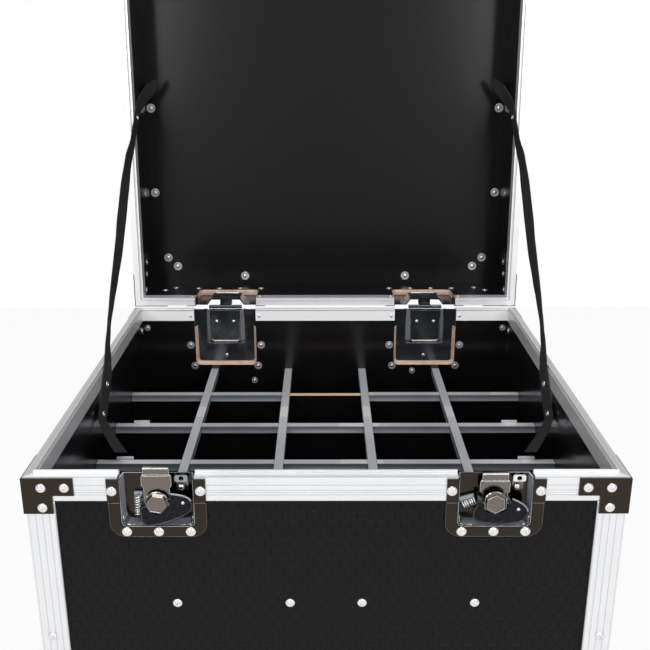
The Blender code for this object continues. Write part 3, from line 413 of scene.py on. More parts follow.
def aluminiumFinish(name, along, lid=False, grooved=False, corners=False):
    # grooved: the floors between the raised ribs are painted darker as painted shade in the grooves, and what
    # stands proud of them is dark steel
    # corners: the section also runs round the closed end, whose pressed corners on the lid are dark steel
    look = aluminiumLook
    made = Finish(name)
    place = made.shutPlace() if lid else made.place()
    scratches = brushed(made, made.place(), along)
    cloud = made.noise(17, 4, 0.6, place)
    dents = made.smooth(made.noise(55, 5, 0.7, place), 0.66, 0.80)
    colour = made.mix(cloud, look["dull"], look["colour"])
    colour = made.mix(dents * 0.25, colour, look["dent"])
    metallic = look["metallic"]
    roughness = look["roughness"] + scratches * 0.14 + cloud * 0.06 - 0.06
    x, y, z = made.axes(place)
    reachX, reachY = abs(x), abs(y - caseY)
    steel = None
    if grooved:
        skin = 0.00015
        outer = (reachX > halfWidth - skin).most(reachY > halfDepth - skin)
        if corners:
            outer = outer.most(z > lidTop - skin if lid else z < baseZ + skin)
        # painted shade: the outer face between the ribs is painted darker
        colour = made.mix(outer * 0.75, colour, look["floor"])
        upward = made.smooth(made.facing()[2], 0.7, 0.9)
        # painted shade: the side rails' top faces are painted darker
        if along == 1 and not lid:
            onSide = (halfDepth - reachY) > (halfWidth - reachX)
            colour = made.mix(upward * onSide * 0.8, colour, look["sideTop"])
        # fine lines along the tops and the inner legs, painted darker as the shade of fine grooves
        down = abs(z - rimZ)
        run = down + upward * ((halfWidth - reachX).least(halfDepth - reachY) - down)
        line = made.smooth(abs((run / look["linePitch"]) % 1 - 0.5), 0.40, 0.47)
        inner = (1 - outer) * (run > 0.0022)
        colour = made.mix(line * inner * (0.42 + upward * 0.15), colour, look["line"])
        # the rear rail's inner leg is painted brightest, a painted highlight
        far = (y > caseY) * inner * made.smooth(made.facing()[1], 0.7, 0.9)
        colour = made.mix(far * (1 - line * 0.35), colour, look["far"])
        metallic = metallic - far * (metallic * 0.9)
        steel = (reachX > halfWidth + look["proud"]).most(reachY > halfDepth + look["proud"])
    if lid and corners:
        nearEnd = (reachX > halfWidth - ballReach) * (reachY > halfDepth - ballReach)
        steel = steel.most(nearEnd * (z > lidTop - ballReach))
    if steel:
        colour = made.mix(steel, colour, look["steel"])
        metallic = steel * (1 - metallic) + metallic
        roughness = roughness * (1 - steel) + steel * look["steelRoughness"]
    return made.done(
        base_color=colour,
        metallic=metallic,
        roughness=roughness,
        normal=made.bump(scratches + dents * 0.6, 0.18, 0.0002),
    )


def chromeFinish(name, colour, roughness, smear=0.10, metallic=1.0, walls=None, ripples=0.10, glints=None):
    # walls: the brighter tone painted on a pressing's drawn sides, which look along X or Z, as a painted
    # reflection
    # glints: the tone of small bright reflections
    made = Finish(name)
    cloud = made.noise(60, 5, 0.65)
    prints = made.smooth(made.noise(24, 5, 0.7), 0.52, 0.74)
    tint = made.mix(prints * 0.30, colour, tuple(min(1, c * 1.25 + 0.01) for c in colour))
    if glints:
        tint = made.mix(made.smooth(made.noise(330, 3, 0.6), 0.50, 0.60), tint, glints)
    if walls:
        facing, depth = made.facing(), abs(made.axes()[1] - caseY)
        sideways = made.smooth(facing[0], 0.55, 0.85)
        floorward = made.smooth(facing[2], 0.75, 0.95) * 0.8
        # painted reflection on the drawn sides
        drawn = sideways.most(floorward) * (depth < halfDepth - panelInset + 0.0004)
        drawn = drawn * (depth > halfDepth - innerInset - 0.008)
        tint = made.mix(drawn, tint, walls)
        metallic = metallic - drawn * 0.55
    return made.done(
        base_color=tint,
        metallic=metallic,
        roughness=roughness + cloud * smear + prints * 0.08,
        normal=made.bump(made.noise(140, 2, 0.5), ripples, 0.00015),
    )


hingeSteelLook = {"dark": (0.040, 0.046, 0.054), "film": (0.20, 0.22, 0.24), "side": (0.34, 0.37, 0.41)}


def steelFinish(name):
    # the pressed hinges: dark steel under cloudy paler patches of painted reflection, lighter further from
    # the rim and with the pans' drawn sides brighter, both painted reflection
    look = hingeSteelLook
    made = Finish(name)
    # painted reflection: cloudy paler patches, a lighter tone away from the rim, and brighter sideways-facing
    # sides
    film = made.smooth(made.noise(21, 4, 0.6, made.stretched((1, 1, 0.6))), 0.46, 0.66)
    foot = made.smooth(abs(rimZ - made.axes()[2]), 0.060, 0.090)
    tone = made.mix(film * 0.55 + foot * 0.25, look["dark"], look["film"])
    sideways = made.smooth(made.facing()[0], 0.30, 0.75)
    return made.done(
        base_color=made.mix(sideways, tone, look["side"]),
        metallic=0.70 - sideways * 0.3,
        roughness=0.15 + film * 0.12,
        normal=made.bump(made.noise(140, 2, 0.5), 0.14, 0.00015),
    )


def plyFinish(name):
    # the routed edge of a board round a hinge, a little stained
    look = laminateLook
    made = Finish(name)
    stain = made.smooth(made.noise(75, 4, 0.65), 0.40, 0.70)
    bare = made.mix(0.5, plywood(made, made.place(), made.axes()[1]), look["routed"])
    return made.done(
        base_color=made.mix(stain * 0.45, bare, look["stain"]),
        roughness=look["plyRoughness"],
        normal=made.bump(stain, 0.3, 0.0003),
    )


def rubberFinish(name, colour, roughness=0.55):
    made = Finish(name)
    grain = made.noise(420, 4, 0.6)
    dust = made.smooth(made.noise(34, 5, 0.7), 0.50, 0.80)
    return made.done(
        base_color=made.mix(dust * 0.4, colour, tuple(c * 2.2 + 0.01 for c in colour)),
        roughness=roughness + grain * 0.15,
        normal=made.bump(grain, 0.30, 0.0003),
    )


def zincFinish(name):
    made = Finish(name)
    inputs = {"Vector": made.place(), "Scale": 190}
    flakes = made.node("ShaderNodeTexVoronoi", {"feature": "F1"}, inputs)("Color")
    cloud = made.noise(48, 5, 0.65)
    tone = made.mix(cloud * 0.5 + 0.2, (0.44, 0.45, 0.46), (0.66, 0.67, 0.68))
    return made.done(
        base_color=made.mix(0.10, tone, flakes, "OVERLAY"),
        metallic=0.95,
        roughness=0.32 + cloud * 0.22,
        normal=made.bump(cloud, 0.12, 0.0003),
    )


print("finishes")
finishes = {
    "baseBoards": boardFinish("black_laminate", False),
    "lidBoards": boardFinish("black_laminate_lid", True),
    "dividerDeep": dividerFinish("divider_laminate_deep", 1),
    "dividerWide": dividerFinish("divider_laminate_wide", 0),
    "dividerBare": dividerFinish("divider_laminate_bare", 0, 0.0545),
    "railX": aluminiumFinish("aluminium_across", 0),
    "railY": aluminiumFinish("aluminium_deep", 1),
    "railZ": aluminiumFinish("aluminium_upright", 2),
    "grooveX": aluminiumFinish("aluminium_grooves_across", 0, grooved=True),
    "grooveY": aluminiumFinish("aluminium_grooves_deep", 1, grooved=True),
    "grooveLidX": aluminiumFinish("aluminium_lid_grooves_across", 0, True, True),
    "grooveLidY": aluminiumFinish("aluminium_lid_grooves_deep", 1, True, True),
    "edges": aluminiumFinish("aluminium_edges", 2, False, True, True),
    "lidEdges": aluminiumFinish("aluminium_lid_edges", 2, True, True, True),
    # painted reflection: the dark latch, brace and wing chrome is plain chrome's reflection of a dark room,
    # painted into its colour
    "darkChrome": chromeFinish("dark_chrome", (0.040, 0.033, 0.025), 0.09, walls=(0.40, 0.44, 0.50)),
    "braceChrome": chromeFinish("brace_chrome", (0.040, 0.033, 0.025), 0.09),
    "wingChrome": chromeFinish("wing_chrome", (0.017, 0.018, 0.021), 0.08, 0.16,
                               glints=(0.027, 0.026, 0.026)),
    "wingRim": chromeFinish("wing_rim_chrome", (0.060, 0.064, 0.072), 0.10, 0.14),
    "glintChrome": chromeFinish("glint_chrome", (0.16, 0.16, 0.165), 0.10, 0.10, 0.8,
                                glints=(0.95, 0.93, 0.92)),
    "taupeChrome": chromeFinish("taupe_chrome", (0.185, 0.162, 0.138), 0.13, 0.16),
    "brightChrome": chromeFinish("bright_chrome", (0.62, 0.61, 0.60), 0.12),
    "blueChrome": chromeFinish("blue_chrome", (0.30, 0.33, 0.37), 0.16, 0.14, 0.75),
    "edgeChrome": chromeFinish("edge_chrome", (0.17, 0.15, 0.12), 0.20, 0.14, 0.8),
    "hingeSteel": steelFinish("hinge_steel"),
    "cutPly": plyFinish("cut_plywood"),
    "washerZinc": chromeFinish("washer_zinc", (0.50, 0.50, 0.51), 0.34, 0.12, 0.75, ripples=0.04),
    "nickel": chromeFinish("nickel", (0.80, 0.79, 0.785), 0.22, 0.08, 0.9, ripples=0.03),
    "zinc": zincFinish("zinc_plate"),
    "tyre": rubberFinish("tyre_rubber", (0.020, 0.020, 0.021)),
    "grip": rubberFinish("grip_rubber", (0.014, 0.014, 0.014), 0.5),
    "hubPlastic": rubberFinish("wheel_disc_plastic", (0.055, 0.056, 0.058), 0.42),
}

print("finishes on the solids")
# the first of these beginnings that a node's name has gives its finish
nodeFinishes = [
    ("base_rim_front", "grooveX"), ("base_rim_rear", "grooveX"), ("base_rim", "grooveY"),
    ("lid_rim_front", "grooveLidX"), ("lid_rim_rear", "grooveLidX"), ("lid_rim", "grooveLidY"),
    ("base_edge_frame", "edges"), ("lid_edge_frame", "lidEdges"), ("base_", "baseBoards"),
    ("hinge", "hingeSteel"), ("lid_hinge", "hingeSteel"), ("lid_", "lidBoards"),
    ("divider_side_to_side_4", "dividerBare"), ("divider_side", "dividerWide"),
    ("divider_front", "dividerDeep"),
    ("latch_wing", "wingChrome"), ("latch_crank", "taupeChrome"), ("latch_hook", "taupeChrome"),
    ("latch", "darkChrome"), ("handle_bail", "grip"), ("handle_dish", "braceChrome"),
    ("corner_brace", "braceChrome"), ("ball_corner", "braceChrome"),
    ("caster_fork", "zinc"), ("caster_wheel", "tyre"),
]
for name, node in nodes.items():
    finish = next((finish for start, finish in nodeFinishes if name.startswith(start)), None)
    if finish:
        slots = node.data.materials
        if not len(slots):
            slots.append(finishes[finish])
        for index in range(len(slots)):
            slots[index] = finishes[finish]


# Meshes


def newPiece(name, bm, finish, body, smoothAngle=60):
    # turns the faces outwards, gives them their finish and lets the piece ride on a body
    bmesh.ops.recalc_face_normals(bm, faces=bm.faces)
    mesh = bpy.data.meshes.new(name)
    bm.to_mesh(mesh)
    bm.free()
    made = bpy.data.objects.new(name, mesh)
    bpy.context.scene.collection.objects.link(made)
    mesh.materials.append(finishes[finish] if isinstance(finish, str) else finish)
    mesh.shade_smooth()
    mesh.set_sharp_from_angle(angle=radians(smoothAngle))
    if body:
        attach(made, body)
    return made


def circle(radius, steps, height=0.0, start=0.0):
    turns = [start + 2 * pi * step / steps for step in range(steps)]
    return [(radius * cos(a), radius * sin(a), height) for a in turns]


def hexagon(radius, height=0.0):
    return circle(radius, 6, height, pi / 6)


def arc(centreX, centreZ, radius, start, stop, steps=6):
    turns = [radians(start + (stop - start) * step / steps) for step in range(steps + 1)]
    return [(centreX + radius * cos(a), centreZ + radius * sin(a)) for a in turns]


def hanging(half, top, low, corner, grow=0.0, steps=6):
    # a U of (X, Z) points: down one side, round both lower corners and up the other side
    outline = [(-half - grow, top)]
    outline += arc(-half + corner, low + corner, corner + grow, 180, 270, steps)
    outline += arc(half - corner, low + corner, corner + grow, 270, 360, steps)
    return outline + [(half + grow, top)]


def rectangle(left, right, low, high, cut):
    # eight points round a rectangle with cut corners
    return [(left, low + cut), (left + cut, low), (right - cut, low), (right, low + cut),
            (right, high - cut), (right - cut, high), (left + cut, high), (left, high - cut)]


def roundedOff(points):
    # cuts each corner of an open outline once, keeping its ends
    cut = [points[0]]
    for (ax, az), (bx, bz) in zip(points, points[1:]):
        cut.append((ax * 0.75 + bx * 0.25, az * 0.75 + bz * 0.25))
        cut.append((ax * 0.25 + bx * 0.75, az * 0.25 + bz * 0.75))
    return cut + [points[-1]]


def standing(wall, x, z, y=0.0):
    # a place on a wall frame whose own Z axis points out of the case
    return wall @ Matrix.Translation((x, y, z)) @ swapYZ @ Matrix.Diagonal((1, 1, -1, 1))


def inward(wall, x, z, y=0.0):
    # a place on a wall frame whose own Z axis points into the case
    return wall @ Matrix.Translation((x, y, z)) @ swapYZ


def ringAt(bm, place, points):
    return [bm.verts.new(place @ Vector(point)) for point in points]


def bridge(bm, rings, closed=True, capped=True):
    # faces from each ring to the next, and over both ends
    for low, high in zip(rings, rings[1:]):
        for index in range(len(low) if closed else len(low) - 1):
            after = (index + 1) % len(low)
            bm.faces.new((low[index], low[after], high[after], high[index]))
    if capped:
        bm.faces.new(list(reversed(rings[0])))
        bm.faces.new(rings[-1])


def lathe(bm, profile, place, steps=20):
    # spins a profile of (radius, height) about the place's Z axis; ends on the axis are closed by a fan
    rings = []
    for radius, height in profile:
        rings.append(ringAt(bm, place, circle(radius, steps, height) if radius else [(0, 0, height)]))
    for low, high in zip(rings, rings[1:]):
        if len(low) == len(high):
            bridge(bm, [low, high], capped=False)
            continue
        tip, brim = (low[0], high) if len(low) == 1 else (high[0], low)
        for step in range(steps):
            bm.faces.new((tip, brim[(step + 1) % steps], brim[step]))


def tube(bm, points, radius, sides=8, closed=False):
    # a round bar along the points, its rings turned as little as they can be
    points = [Vector(point) for point in points]
    count = len(points)
    rings = []
    normal = None
    for index, point in enumerate(points):
        before = points[index - 1] if closed or index else point
        after = points[(index + 1) % count] if closed or index < count - 1 else point
        way = (after - before).normalized()
        if normal is None:
            normal = way.orthogonal().normalized()
        normal = (normal - way * normal.dot(way)).normalized()
        other = way.cross(normal)
        rings.append([bm.verts.new(point + normal * x + other * y) for x, y, _ in circle(radius, sides)])
    bridge(bm, rings, capped=not closed)
    if closed:
        gaps = [(rings[-1][0].co - vert.co).length for vert in rings[0]]
        shift = gaps.index(min(gaps))
        bridge(bm, [rings[-1], rings[0][shift:] + rings[0][:shift]], capped=False)


def bead(bm, place, outline, y, radius, closed=False, sides=8):
    # a fine bright edge: points of (X, Z) on a wall frame, at one depth
    tube(bm, [place @ Vector((x, y, z)) for x, z in outline], radius, sides, closed)


def beads(name, finish, body, place, runs, closed=False, sides=8):
    # one piece of such edges, from runs of (outline, depth, radius)
    bm = bmesh.new()
    for outline, y, radius in runs:
        bead(bm, place, outline, y, radius, closed, sides)
    return newPiece(name, bm, finish, body)


def coil(bm, place, base, top, radius, wire, turns, steps=14):
    # a coil spring between two points, with its last turns closed up
    base, top = Vector(base), Vector(top)
    way = (top - base).normalized()
    side = way.orthogonal().normalized()
    other = way.cross(side)
    count = int(turns * steps)
    points = []
    for index in range(count + 1):
        share = index / count
        height = share + 0.035 * sin(4 * pi * share) / 2
        angle = 2 * pi * turns * share
        away = (side * cos(angle) + other * sin(angle)) * radius
        points.append(place @ (base + (top - base) * height + away))
    tube(bm, points, wire, 7)


def dome(bm, place, radius, height, steps=18):
    profile = [(radius, -0.0003), (radius, height * 0.15)]
    profile += [(radius * cos(radians(a)), height * (0.15 + 0.85 * sin(radians(a)))) for a in (25, 50, 72)]
    lathe(bm, profile + [(0, height)], place, steps)


def domes(name, body, places, radius, height, steps=18):
    bm = bmesh.new()
    for place in places:
        dome(bm, place, radius, height, steps)
    return newPiece(name, bm, "brightChrome", body)


def bevelPlate(bm, outline, near, far, bevel, place=Matrix()):
    # a flat plate between two depths along Z, with its front edge bevelled all round
    count = len(outline)
    centre = sum((Vector((x, y, 0)) for x, y in outline), Vector()) / count
    layers = []
    levels = ((far, 0), (near + bevel, 0), (near + bevel * 0.3, bevel * 0.7), (near, bevel * 1.6))
    for depth, shrink in levels:
        ring = []
        for index, (x, y) in enumerate(outline):
            before, after = outline[index - 1], outline[(index + 1) % count]
            edge = Vector((after[0] - before[0], after[1] - before[1], 0)).normalized()
            toMiddle = Vector((-edge.y, edge.x, 0))
            if toMiddle.dot(centre - Vector((x, y, 0))) < 0:
                toMiddle = -toMiddle
            ring.append(Vector((x, y, depth)) + toMiddle * shrink)
        layers.append(ringAt(bm, place, ring))
    bridge(bm, layers)


def plates(name, finish, body, rows):
    # one piece of such plates, from rows of (outline, near, far, bevel, place)
    bm = bmesh.new()
    for row in rows:
        bevelPlate(bm, *row)
    return newPiece(name, bm, finish, body, smoothAngle=30)


def slab(bm, place, loops, near, far):
    # a flat plate between two depths along Y: a loop of (X, Z) points round it, and one round each hole
    faces = []
    for depth in (near, far):
        rings = [ringAt(bm, place, [(x, depth, z) for x, z in loop]) for loop in loops]
        edges = [bm.edges.new(pair) for ring in rings for pair in zip(ring, ring[1:] + ring[:1])]
        bmesh.ops.triangle_fill(bm, use_beauty=True, edges=edges)
        faces.append(rings)
    for pair in zip(*faces):
        bridge(bm, pair, capped=False)


# Rivets and washers

rivetSizes = {   # radius and height
    "latch": (0.0055, 0.0025),
    "fitting": (0.0052, 0.0023),
    "bracket": (0.0052, 0.0022),
    "angle": (0.0050, 0.0022),
    "handle": (0.0045, 0.0020),
    "strap": (0.0044, 0.0020),
    "pin": (0.0024, 0.0012),
}


def rivetProfile(radius, height):
    # a domed pop rivet: a thin brim, a crown, and the hole left by the mandrel
    hole = radius * 0.30
    return [
        (radius * 0.90, -0.0004),
        (radius * 0.98, height * 0.08),
        (radius, height * 0.22),
        (radius * 0.94, height * 0.46),
        (radius * 0.80, height * 0.72),
        (radius * 0.60, height * 0.92),
        (radius * 0.44, height),
        (hole * 1.12, height * 0.95),
        (hole, height * 0.70),
        (hole * 0.80, height * 0.32),
        (0, height * 0.22),
    ]


def rivets(name, places, size, body, steps=20):
    bm = bmesh.new()
    for place in places:
        lathe(bm, rivetProfile(*rivetSizes[size]), place, steps)
    return newPiece(name, bm, "nickel", body, smoothAngle=50)


washerLook = {
    "thick": 0.0009,
    "tall": 0.0018,
    "rim": [(1.0, -0.2), (1.0, 0.7), (0.94, 1.0), (0.60, 0.9), (0.52, 0.2), (0.30, 0.1)],
    "tail": [(0.44, 0.0), (0.46, 0.35), (0.40, 0.75), (0.26, 0.96)],
    "panel": 0.0072,
    "hinge": 0.0062,
    "small": 0.0050,
}


def washers(name, places, size, body):
    # thin washers, dished towards their holes, and the rivets' tails in them
    look, radius = washerLook, washerLook[size]
    rim = [(radius * share, look["thick"] * rise) for share, rise in look["rim"]] + [(0, 0.0001)]
    tail = [(radius * share, look["tall"] * rise) for share, rise in look["tail"]] + [(0, look["tall"])]
    for label, profile, finish, steps, angle in (
        ("", rim, "washerZinc", 22, 25),
        ("_tails", tail, "nickel", 16, 50),
    ):
        bm = bmesh.new()
        for place in places:
            lathe(bm, profile, place, steps)
        newPiece(name + label, bm, finish, body, smoothAngle=angle)


print("rivets")
rivetLook = {
    "onBrace": -0.0018,
    "onAngle": -0.0006,
    "onFlange": 0.0005,
    "onBoard": 0.0023,
    "brace": [(0.0182, -0.0114), (0.0417, -0.0114), (0.0180, -0.0337)],
    "latchTabs": [(-0.0447, -0.0151), (0.0447, -0.0151)],
    "latchRow": [(-0.0327, -0.0628), (0, -0.0628), (0.0327, -0.0628)],
    "catchRow": [(-0.0327, -0.0405), (0, -0.0405), (0.0327, -0.0405)],
    "hinge": [(-0.0569, -0.0602), (0.0569, -0.0602), (-0.0515, -0.0959), (0.0515, -0.0959)],
    "lidHinge": [(-0.0525, -0.073), (-0.0175, -0.073), (0.0175, -0.073), (0.0525, -0.073)],
    "bracketX": (0.157, 0.038),
    "bracketZ": (-0.150, -0.450, -0.780),
    "angleStart": 0.190,
    "anglePitch": 0.155,
    "angleStop": 0.03,
    "edgeX": (0.075, 0.205),
    "ball": [(0.0385, 0.0130), (0.0130, 0.0385)],
}
look = rivetLook
for body, walls in (("case", caseWalls), ("lid", lidWalls)):
    places = [standing(wall, side * (half - x), z, look["onBrace"])
              for wall, half in walls for x, z in look["brace"] for side in (-1, 1)]
    rivets(f"brace_rivets_{body}", places, "fitting", body)

for side, name in ((-1, "left"), (1, "right")):
    for label, body, wall, row in (
        ("latch", "case", frontWall, "latchRow"),
        ("catch", "lid", lidFront, "catchRow"),
    ):
        places = [standing(wall, side * latchX + x, z, look["onBrace"]) for x, z in look["latchTabs"]]
        places += [standing(wall, side * latchX + x, z, look["onFlange"]) for x, z in look[row]]
        rivets(f"{label}_rivets_{name}", places, "latch", body)
    for label, body, wall, row in (
        ("hinge", "case", rearWall, "hinge"),
        ("lid_hinge", "lid", lidRear, "lidHinge"),
    ):
        places = [standing(wall, side * hingeX + x, z, look["onFlange"]) for x, z in look[row]]
        rivets(f"{label}_rivets_{name}", places, "fitting", body)

places = [standing(wall, side * x, z, look["onBoard"]) for wall in (frontWall, rearWall)
          for x in look["bracketX"] for z in look["bracketZ"] for side in (-1, 1)]
rivets("bracket_rivets", places, "bracket", "case")

places = []
for wall, half in caseWalls:
    z = look["angleStart"]
    while z < rimZ - baseZ - ballReach - look["angleStop"]:
        places += [standing(wall, side * (half - angleMiddle), -z, look["onAngle"]) for side in (-1, 1)]
        z += look["anglePitch"]
rivets("angle_rivets", places, "angle", "case")
for label, body, walls, up, onBall in (
    ("bottom", "case", bottomWalls, 1, -0.0018),
    ("top", "lid", topWalls, -1, -0.0010),
):
    places = [standing(wall, side * x, up * angleMiddle, look["onAngle"])
              for wall, half in walls for side in (-1, 1) for x in look["edgeX"]]
    rivets(f"{label}_angle_rivets", places, "angle", body)
    places = [standing(wall, side * (half - x), up * z, onBall)
              for wall, half in walls for side in (-1, 1) for x, z in look["ball"]]
    rivets(f"corner_rivets_{body}", places, "angle", body)

print("washers")
insideLook = {
    "panel": [(0.2685, 0.057), (0.2528, 0.042), (0.1377, 0.0252), (0.2855, 0.306), (0.2855, 0.168)],
    "side": [(0.304, 0.070), (0.171, 0.068), (0.061, 0.050), (0.042, 0.045)],
    "rear": [(0.267, 0.060), (0.252, 0.078)],
    "brace": (0.018, -0.0337),
    "corner": (0.2855, -0.031),
    "bracket": [(0.0451 - hingeX, -0.1215), (hingeX - 0.0187, -0.1048)],
}
look = insideLook
lidFloor = openLid @ Matrix.Translation((0, rearY, lidTop - innerInset)) @ Matrix.Diagonal((1, -1, -1, 1))
places = [lidFloor @ Matrix.Translation((side * x, y, 0)) for x, y in look["panel"] for side in (-1, 1)]
washers("lid_panel_washers", places, "panel", "lid")
places = [inward(wall, halfDepth - x, -z, innerInset) for wall, half in lidWalls[2:] for x, z in look["side"]]
washers("lid_side_washers", places, "small", "lid")
places = [inward(lidRear, side * x, -z, innerInset) for x, z in look["rear"] for side in (-1, 1)]
washers("lid_rear_washers", places, "small", "lid")
x, z = look["brace"]
for body, walls in (("case", caseWalls), ("lid", lidWalls)):
    places = [inward(wall, side * (half - x), z, innerInset) for wall, half in walls[2:] for side in (-1, 1)]
    washers(f"brace_washers_{body}", places, "small", body)
x, z = look["corner"]
places = [inward(rearWall, side * x, z, innerInset) for side in (-1, 1)]
washers("rear_corner_washers", places, "small", "case")
washers("bracket_washers", [inward(rearWall, x, z, innerInset) for x, z in look["bracket"]], "small", "case")

# Ribs of the rails and the angles

print("ribs")
ribLook = {
    "proud": 0.00045,
    "crown": 0.00015,
    "tip": 0.0002,
    "shoulder": 0.6,
    "foot": 0.0003,
    "upClear": 0.0008,
    "endClear": 0.001,
    "rail": [(0.0012, 0.0089), (0.0097, 0.0146), (0.0154, 0.0172), (0.0180, 0.0199), (0.0207, 0.0266)],
    "angle": [(0.0025, 0.0090), (0.0098, 0.0160), (0.0168, 0.0230), (0.0238, 0.0290)],
    "latchGap": 0.0505,
    "hingeGap": 0.0640,
    "braceArm": 0.0294,
    "braceHeight": 0.0412,
}


def ribs(name, finish, body, runs, bands):
    # raised ribs on the face Y = 0: runs give frame, start and stop along X, bands their heights
    look = ribLook
    tip, proud, foot = look["tip"], look["proud"], look["foot"]
    shoulder, crown = proud * look["shoulder"], proud + look["crown"]
    bm = bmesh.new()
    for place, start, stop in runs:
        for low, high in bands:
            outline = [(foot, low), (-shoulder, low), (-proud, low + tip), (-crown, (low + high) / 2),
                       (-proud, high - tip), (-shoulder, high), (foot, high)]
            bridge(bm, [ringAt(bm, place, [(x, y, -z) for y, z in outline]) for x in (start, stop)])
    return newPiece(name, bm, finish, body, smoothAngle=20)


def mirroredRuns(walls, spans):
    # each span on each wall, and again on the other side of the middle where it doesn't cross it
    runs = []
    for wall in walls:
        for start, stop in spans:
            runs.append((wall, start, stop))
            if start > 0:
                runs.append((wall, -stop, -start))
    return runs


look = ribLook
frontSpans = [(look["latchGap"] - latchX, latchX - look["latchGap"]),
              (latchX + look["latchGap"], halfWidth - braceReach)]
rearSpans = [(look["hingeGap"] - hingeX, hingeX - look["hingeGap"]),
             (hingeX + look["hingeGap"], halfWidth - braceReach)]
for body, walls in (("case", caseWalls), ("lid", lidWalls)):
    front, rear, left, right = (wall for wall, half in walls)
    underArm = braceReach - look["braceArm"]
    endX, endY = halfWidth - braceReach, halfDepth - braceReach
    across = mirroredRuns([front], frontSpans) + mirroredRuns([rear], rearSpans)
    ribs(f"rail_ribs_across_{body}", "railX", body, across, look["rail"])
    ribs(f"rail_ribs_deep_{body}", "railY", body, mirroredRuns([left, right], [(-endY, endY)]), look["rail"])
    # the rail's lowest rib runs on under the corner braces
    across = mirroredRuns([front, rear], [(endX, endX + underArm)])
    ribs(f"low_ribs_across_{body}", "railX", body, across, look["rail"][-1:])
    deep = mirroredRuns([left, right], [(endY, endY + underArm)])
    ribs(f"low_ribs_deep_{body}", "railY", body, deep, look["rail"][-1:])


def cornerRun(body, side, end, wide):
    # a frame whose X runs up a corner angle, Y into the case, and -Z away from the corner
    plane, up, place = (rimZ, 1, Matrix()) if body == "case" else (lidZ, -1, openLid)
    corner = place @ Matrix.Translation((side * halfWidth, caseY + end * halfDepth, plane))
    across, deep = ((0, 0, side, 0), (0, -end, 0, 0)) if wide else ((0, -side, 0, 0), (0, 0, end, 0))
    return corner @ Matrix((across, deep, (up, 0, 0, 0), (0, 0, 0, 1)))


for body, tall, walls in (("case", rimZ - baseZ, fourWalls(baseZ, -1)), ("lid", lidTop - lidZ, topWalls)):
    runs = [(cornerRun(body, side, end, wide), ballReach + look["upClear"] - tall, -look["braceHeight"])
            for side in (-1, 1) for end in (-1, 1) for wide in (True, False)]
    ribs(f"corner_ribs_{body}", "railZ", body, runs, look["angle"])
    for label, finish, pair in (("across", "railX", walls[:2]), ("deep", "railY", walls[2:])):
        ends = [half - ballReach - look["endClear"] for wall, half in pair]
        runs = [(wall, -end, end) for (wall, half), end in zip(pair, ends)]
        ribs(f"end_ribs_{label}_{body}", finish, body, runs, look["angle"])
        # the same section on the closed end, where each rib runs beside its edge
        flat = swapYZ @ Matrix.Diagonal((1, -1, -1, 1))
        runs = [(wall @ flat, start, stop) for wall, start, stop in runs]
        ribs(f"cap_ribs_{label}_{body}", finish, body, runs, look["angle"])

# Latches

print("latches")
latchLook = {
    "half": 0.04975,
    "drop": 0.0690,
    "catchDrop": 0.0460,
    "corner": 0.0160,
    "step": 0.0275,
    "window": 0.0382,
    "panHalf": 0.03675,
    "panDrop": 0.0565,
    "catchPanDrop": 0.0340,
    "panRound": 0.0050,
    "hubDrop": 0.0290,
    "slope": radians(22),
    "rise": 0.0094,
    "springWire": 0.0010,
    "springRadius": 0.0039,
    "springDeep": 0.0095,
    "seatDeep": 0.0110,
    "seatThick": 0.0012,
    "seatWide": 0.0030,
    "collar": 0.0118,
    "collarTurn": (28, 148),
    "collarWire": 0.00080,
    "glintIn": 0.0012,
    "glintUp": 0.0105,
    "glintAlong": 0.0130,
    "glintWire": 0.00060,
    "bladeOut": 0.0008,
    "eyeX": 0.0245,
}
# the left wing lies folded over, on a crank that has turned; the right one hangs as it was shut
latchSides = {
    "left": {
        "side": -1,
        "turn": radians(160),
        "folded": True,
        "spring": [(-0.0212, -0.0185), (-0.0212, 0.0035)],
        "springTurns": 8,
        "seat": (-0.0205, 0.0042),
        "seatHalf": 0.0045,
        "seatLean": 0.0,
        # the eye's tone differs by side as painted reflection: the same part, painted bluish on the left and
        # pale on the right
        "eye": "blueChrome",
        "stud": (-0.0250, 0.0085),
    },
    "right": {
        "side": 1,
        "turn": 0.0,
        "folded": False,
        "spring": [(-0.0315, -0.0078), (-0.0190, -0.0026)],
        "springTurns": 5.5,
        "seat": (-0.0272, -0.0004),
        "seatHalf": 0.0078,
        "seatLean": -radians(16),
        "eye": "nickel",
        "stud": (0.0235, -0.0070),
    },
}


def dishEdges(name, body, place, look, drop, panDrop):
    # the cut edge of a flange with the step at its tabs, and the rolled mouth of its pan, as lighter beads:
    # painted highlights on the edges and a bluish painted reflection on the mouth
    half, step, inset = look["half"], latchLook["step"], 0.00025
    runs = [(hanging(half, -step - 0.0015, -drop, look["corner"], -inset, 8), flangeFace + 0.0002, 0.00028)]
    for side in (-1, 1):
        tab = [(side * (look["window"] - 0.0003), -step - 0.0013), (side * (half - inset), -step - 0.0013)]
        runs.append((tab, tabFace + 0.0003, 0.00045))
    beads(f"{name}_edge", "edgeChrome", body, place, runs, sides=6)
    mouth = hanging(look["panHalf"], -0.0032, -panDrop, look["panRound"], 0.0003)
    return beads(f"{name}_mouth", "blueChrome", body, place, [(mouth, flangeFace + 0.00035, 0.00050)])


hubLook = {
    "face": [(0.01205, -0.0004), (0.01225, 0.0002), (0.01225, 0.0014), (0.0116, 0.0022), (0.0103, 0.0037),
             (0.0098, 0.00425), (0.0086, 0.00435), (0.0080, 0.00415), (0.0030, 0.00420)],
    "hole": [(0.0017, 0.00425), (0.0013, 0.0041), (0.0011, 0.0020)],
    "edges": [(0.0123, 0.0014, 0.00025), (0.0098, 0.0042, 0.00022)],
}


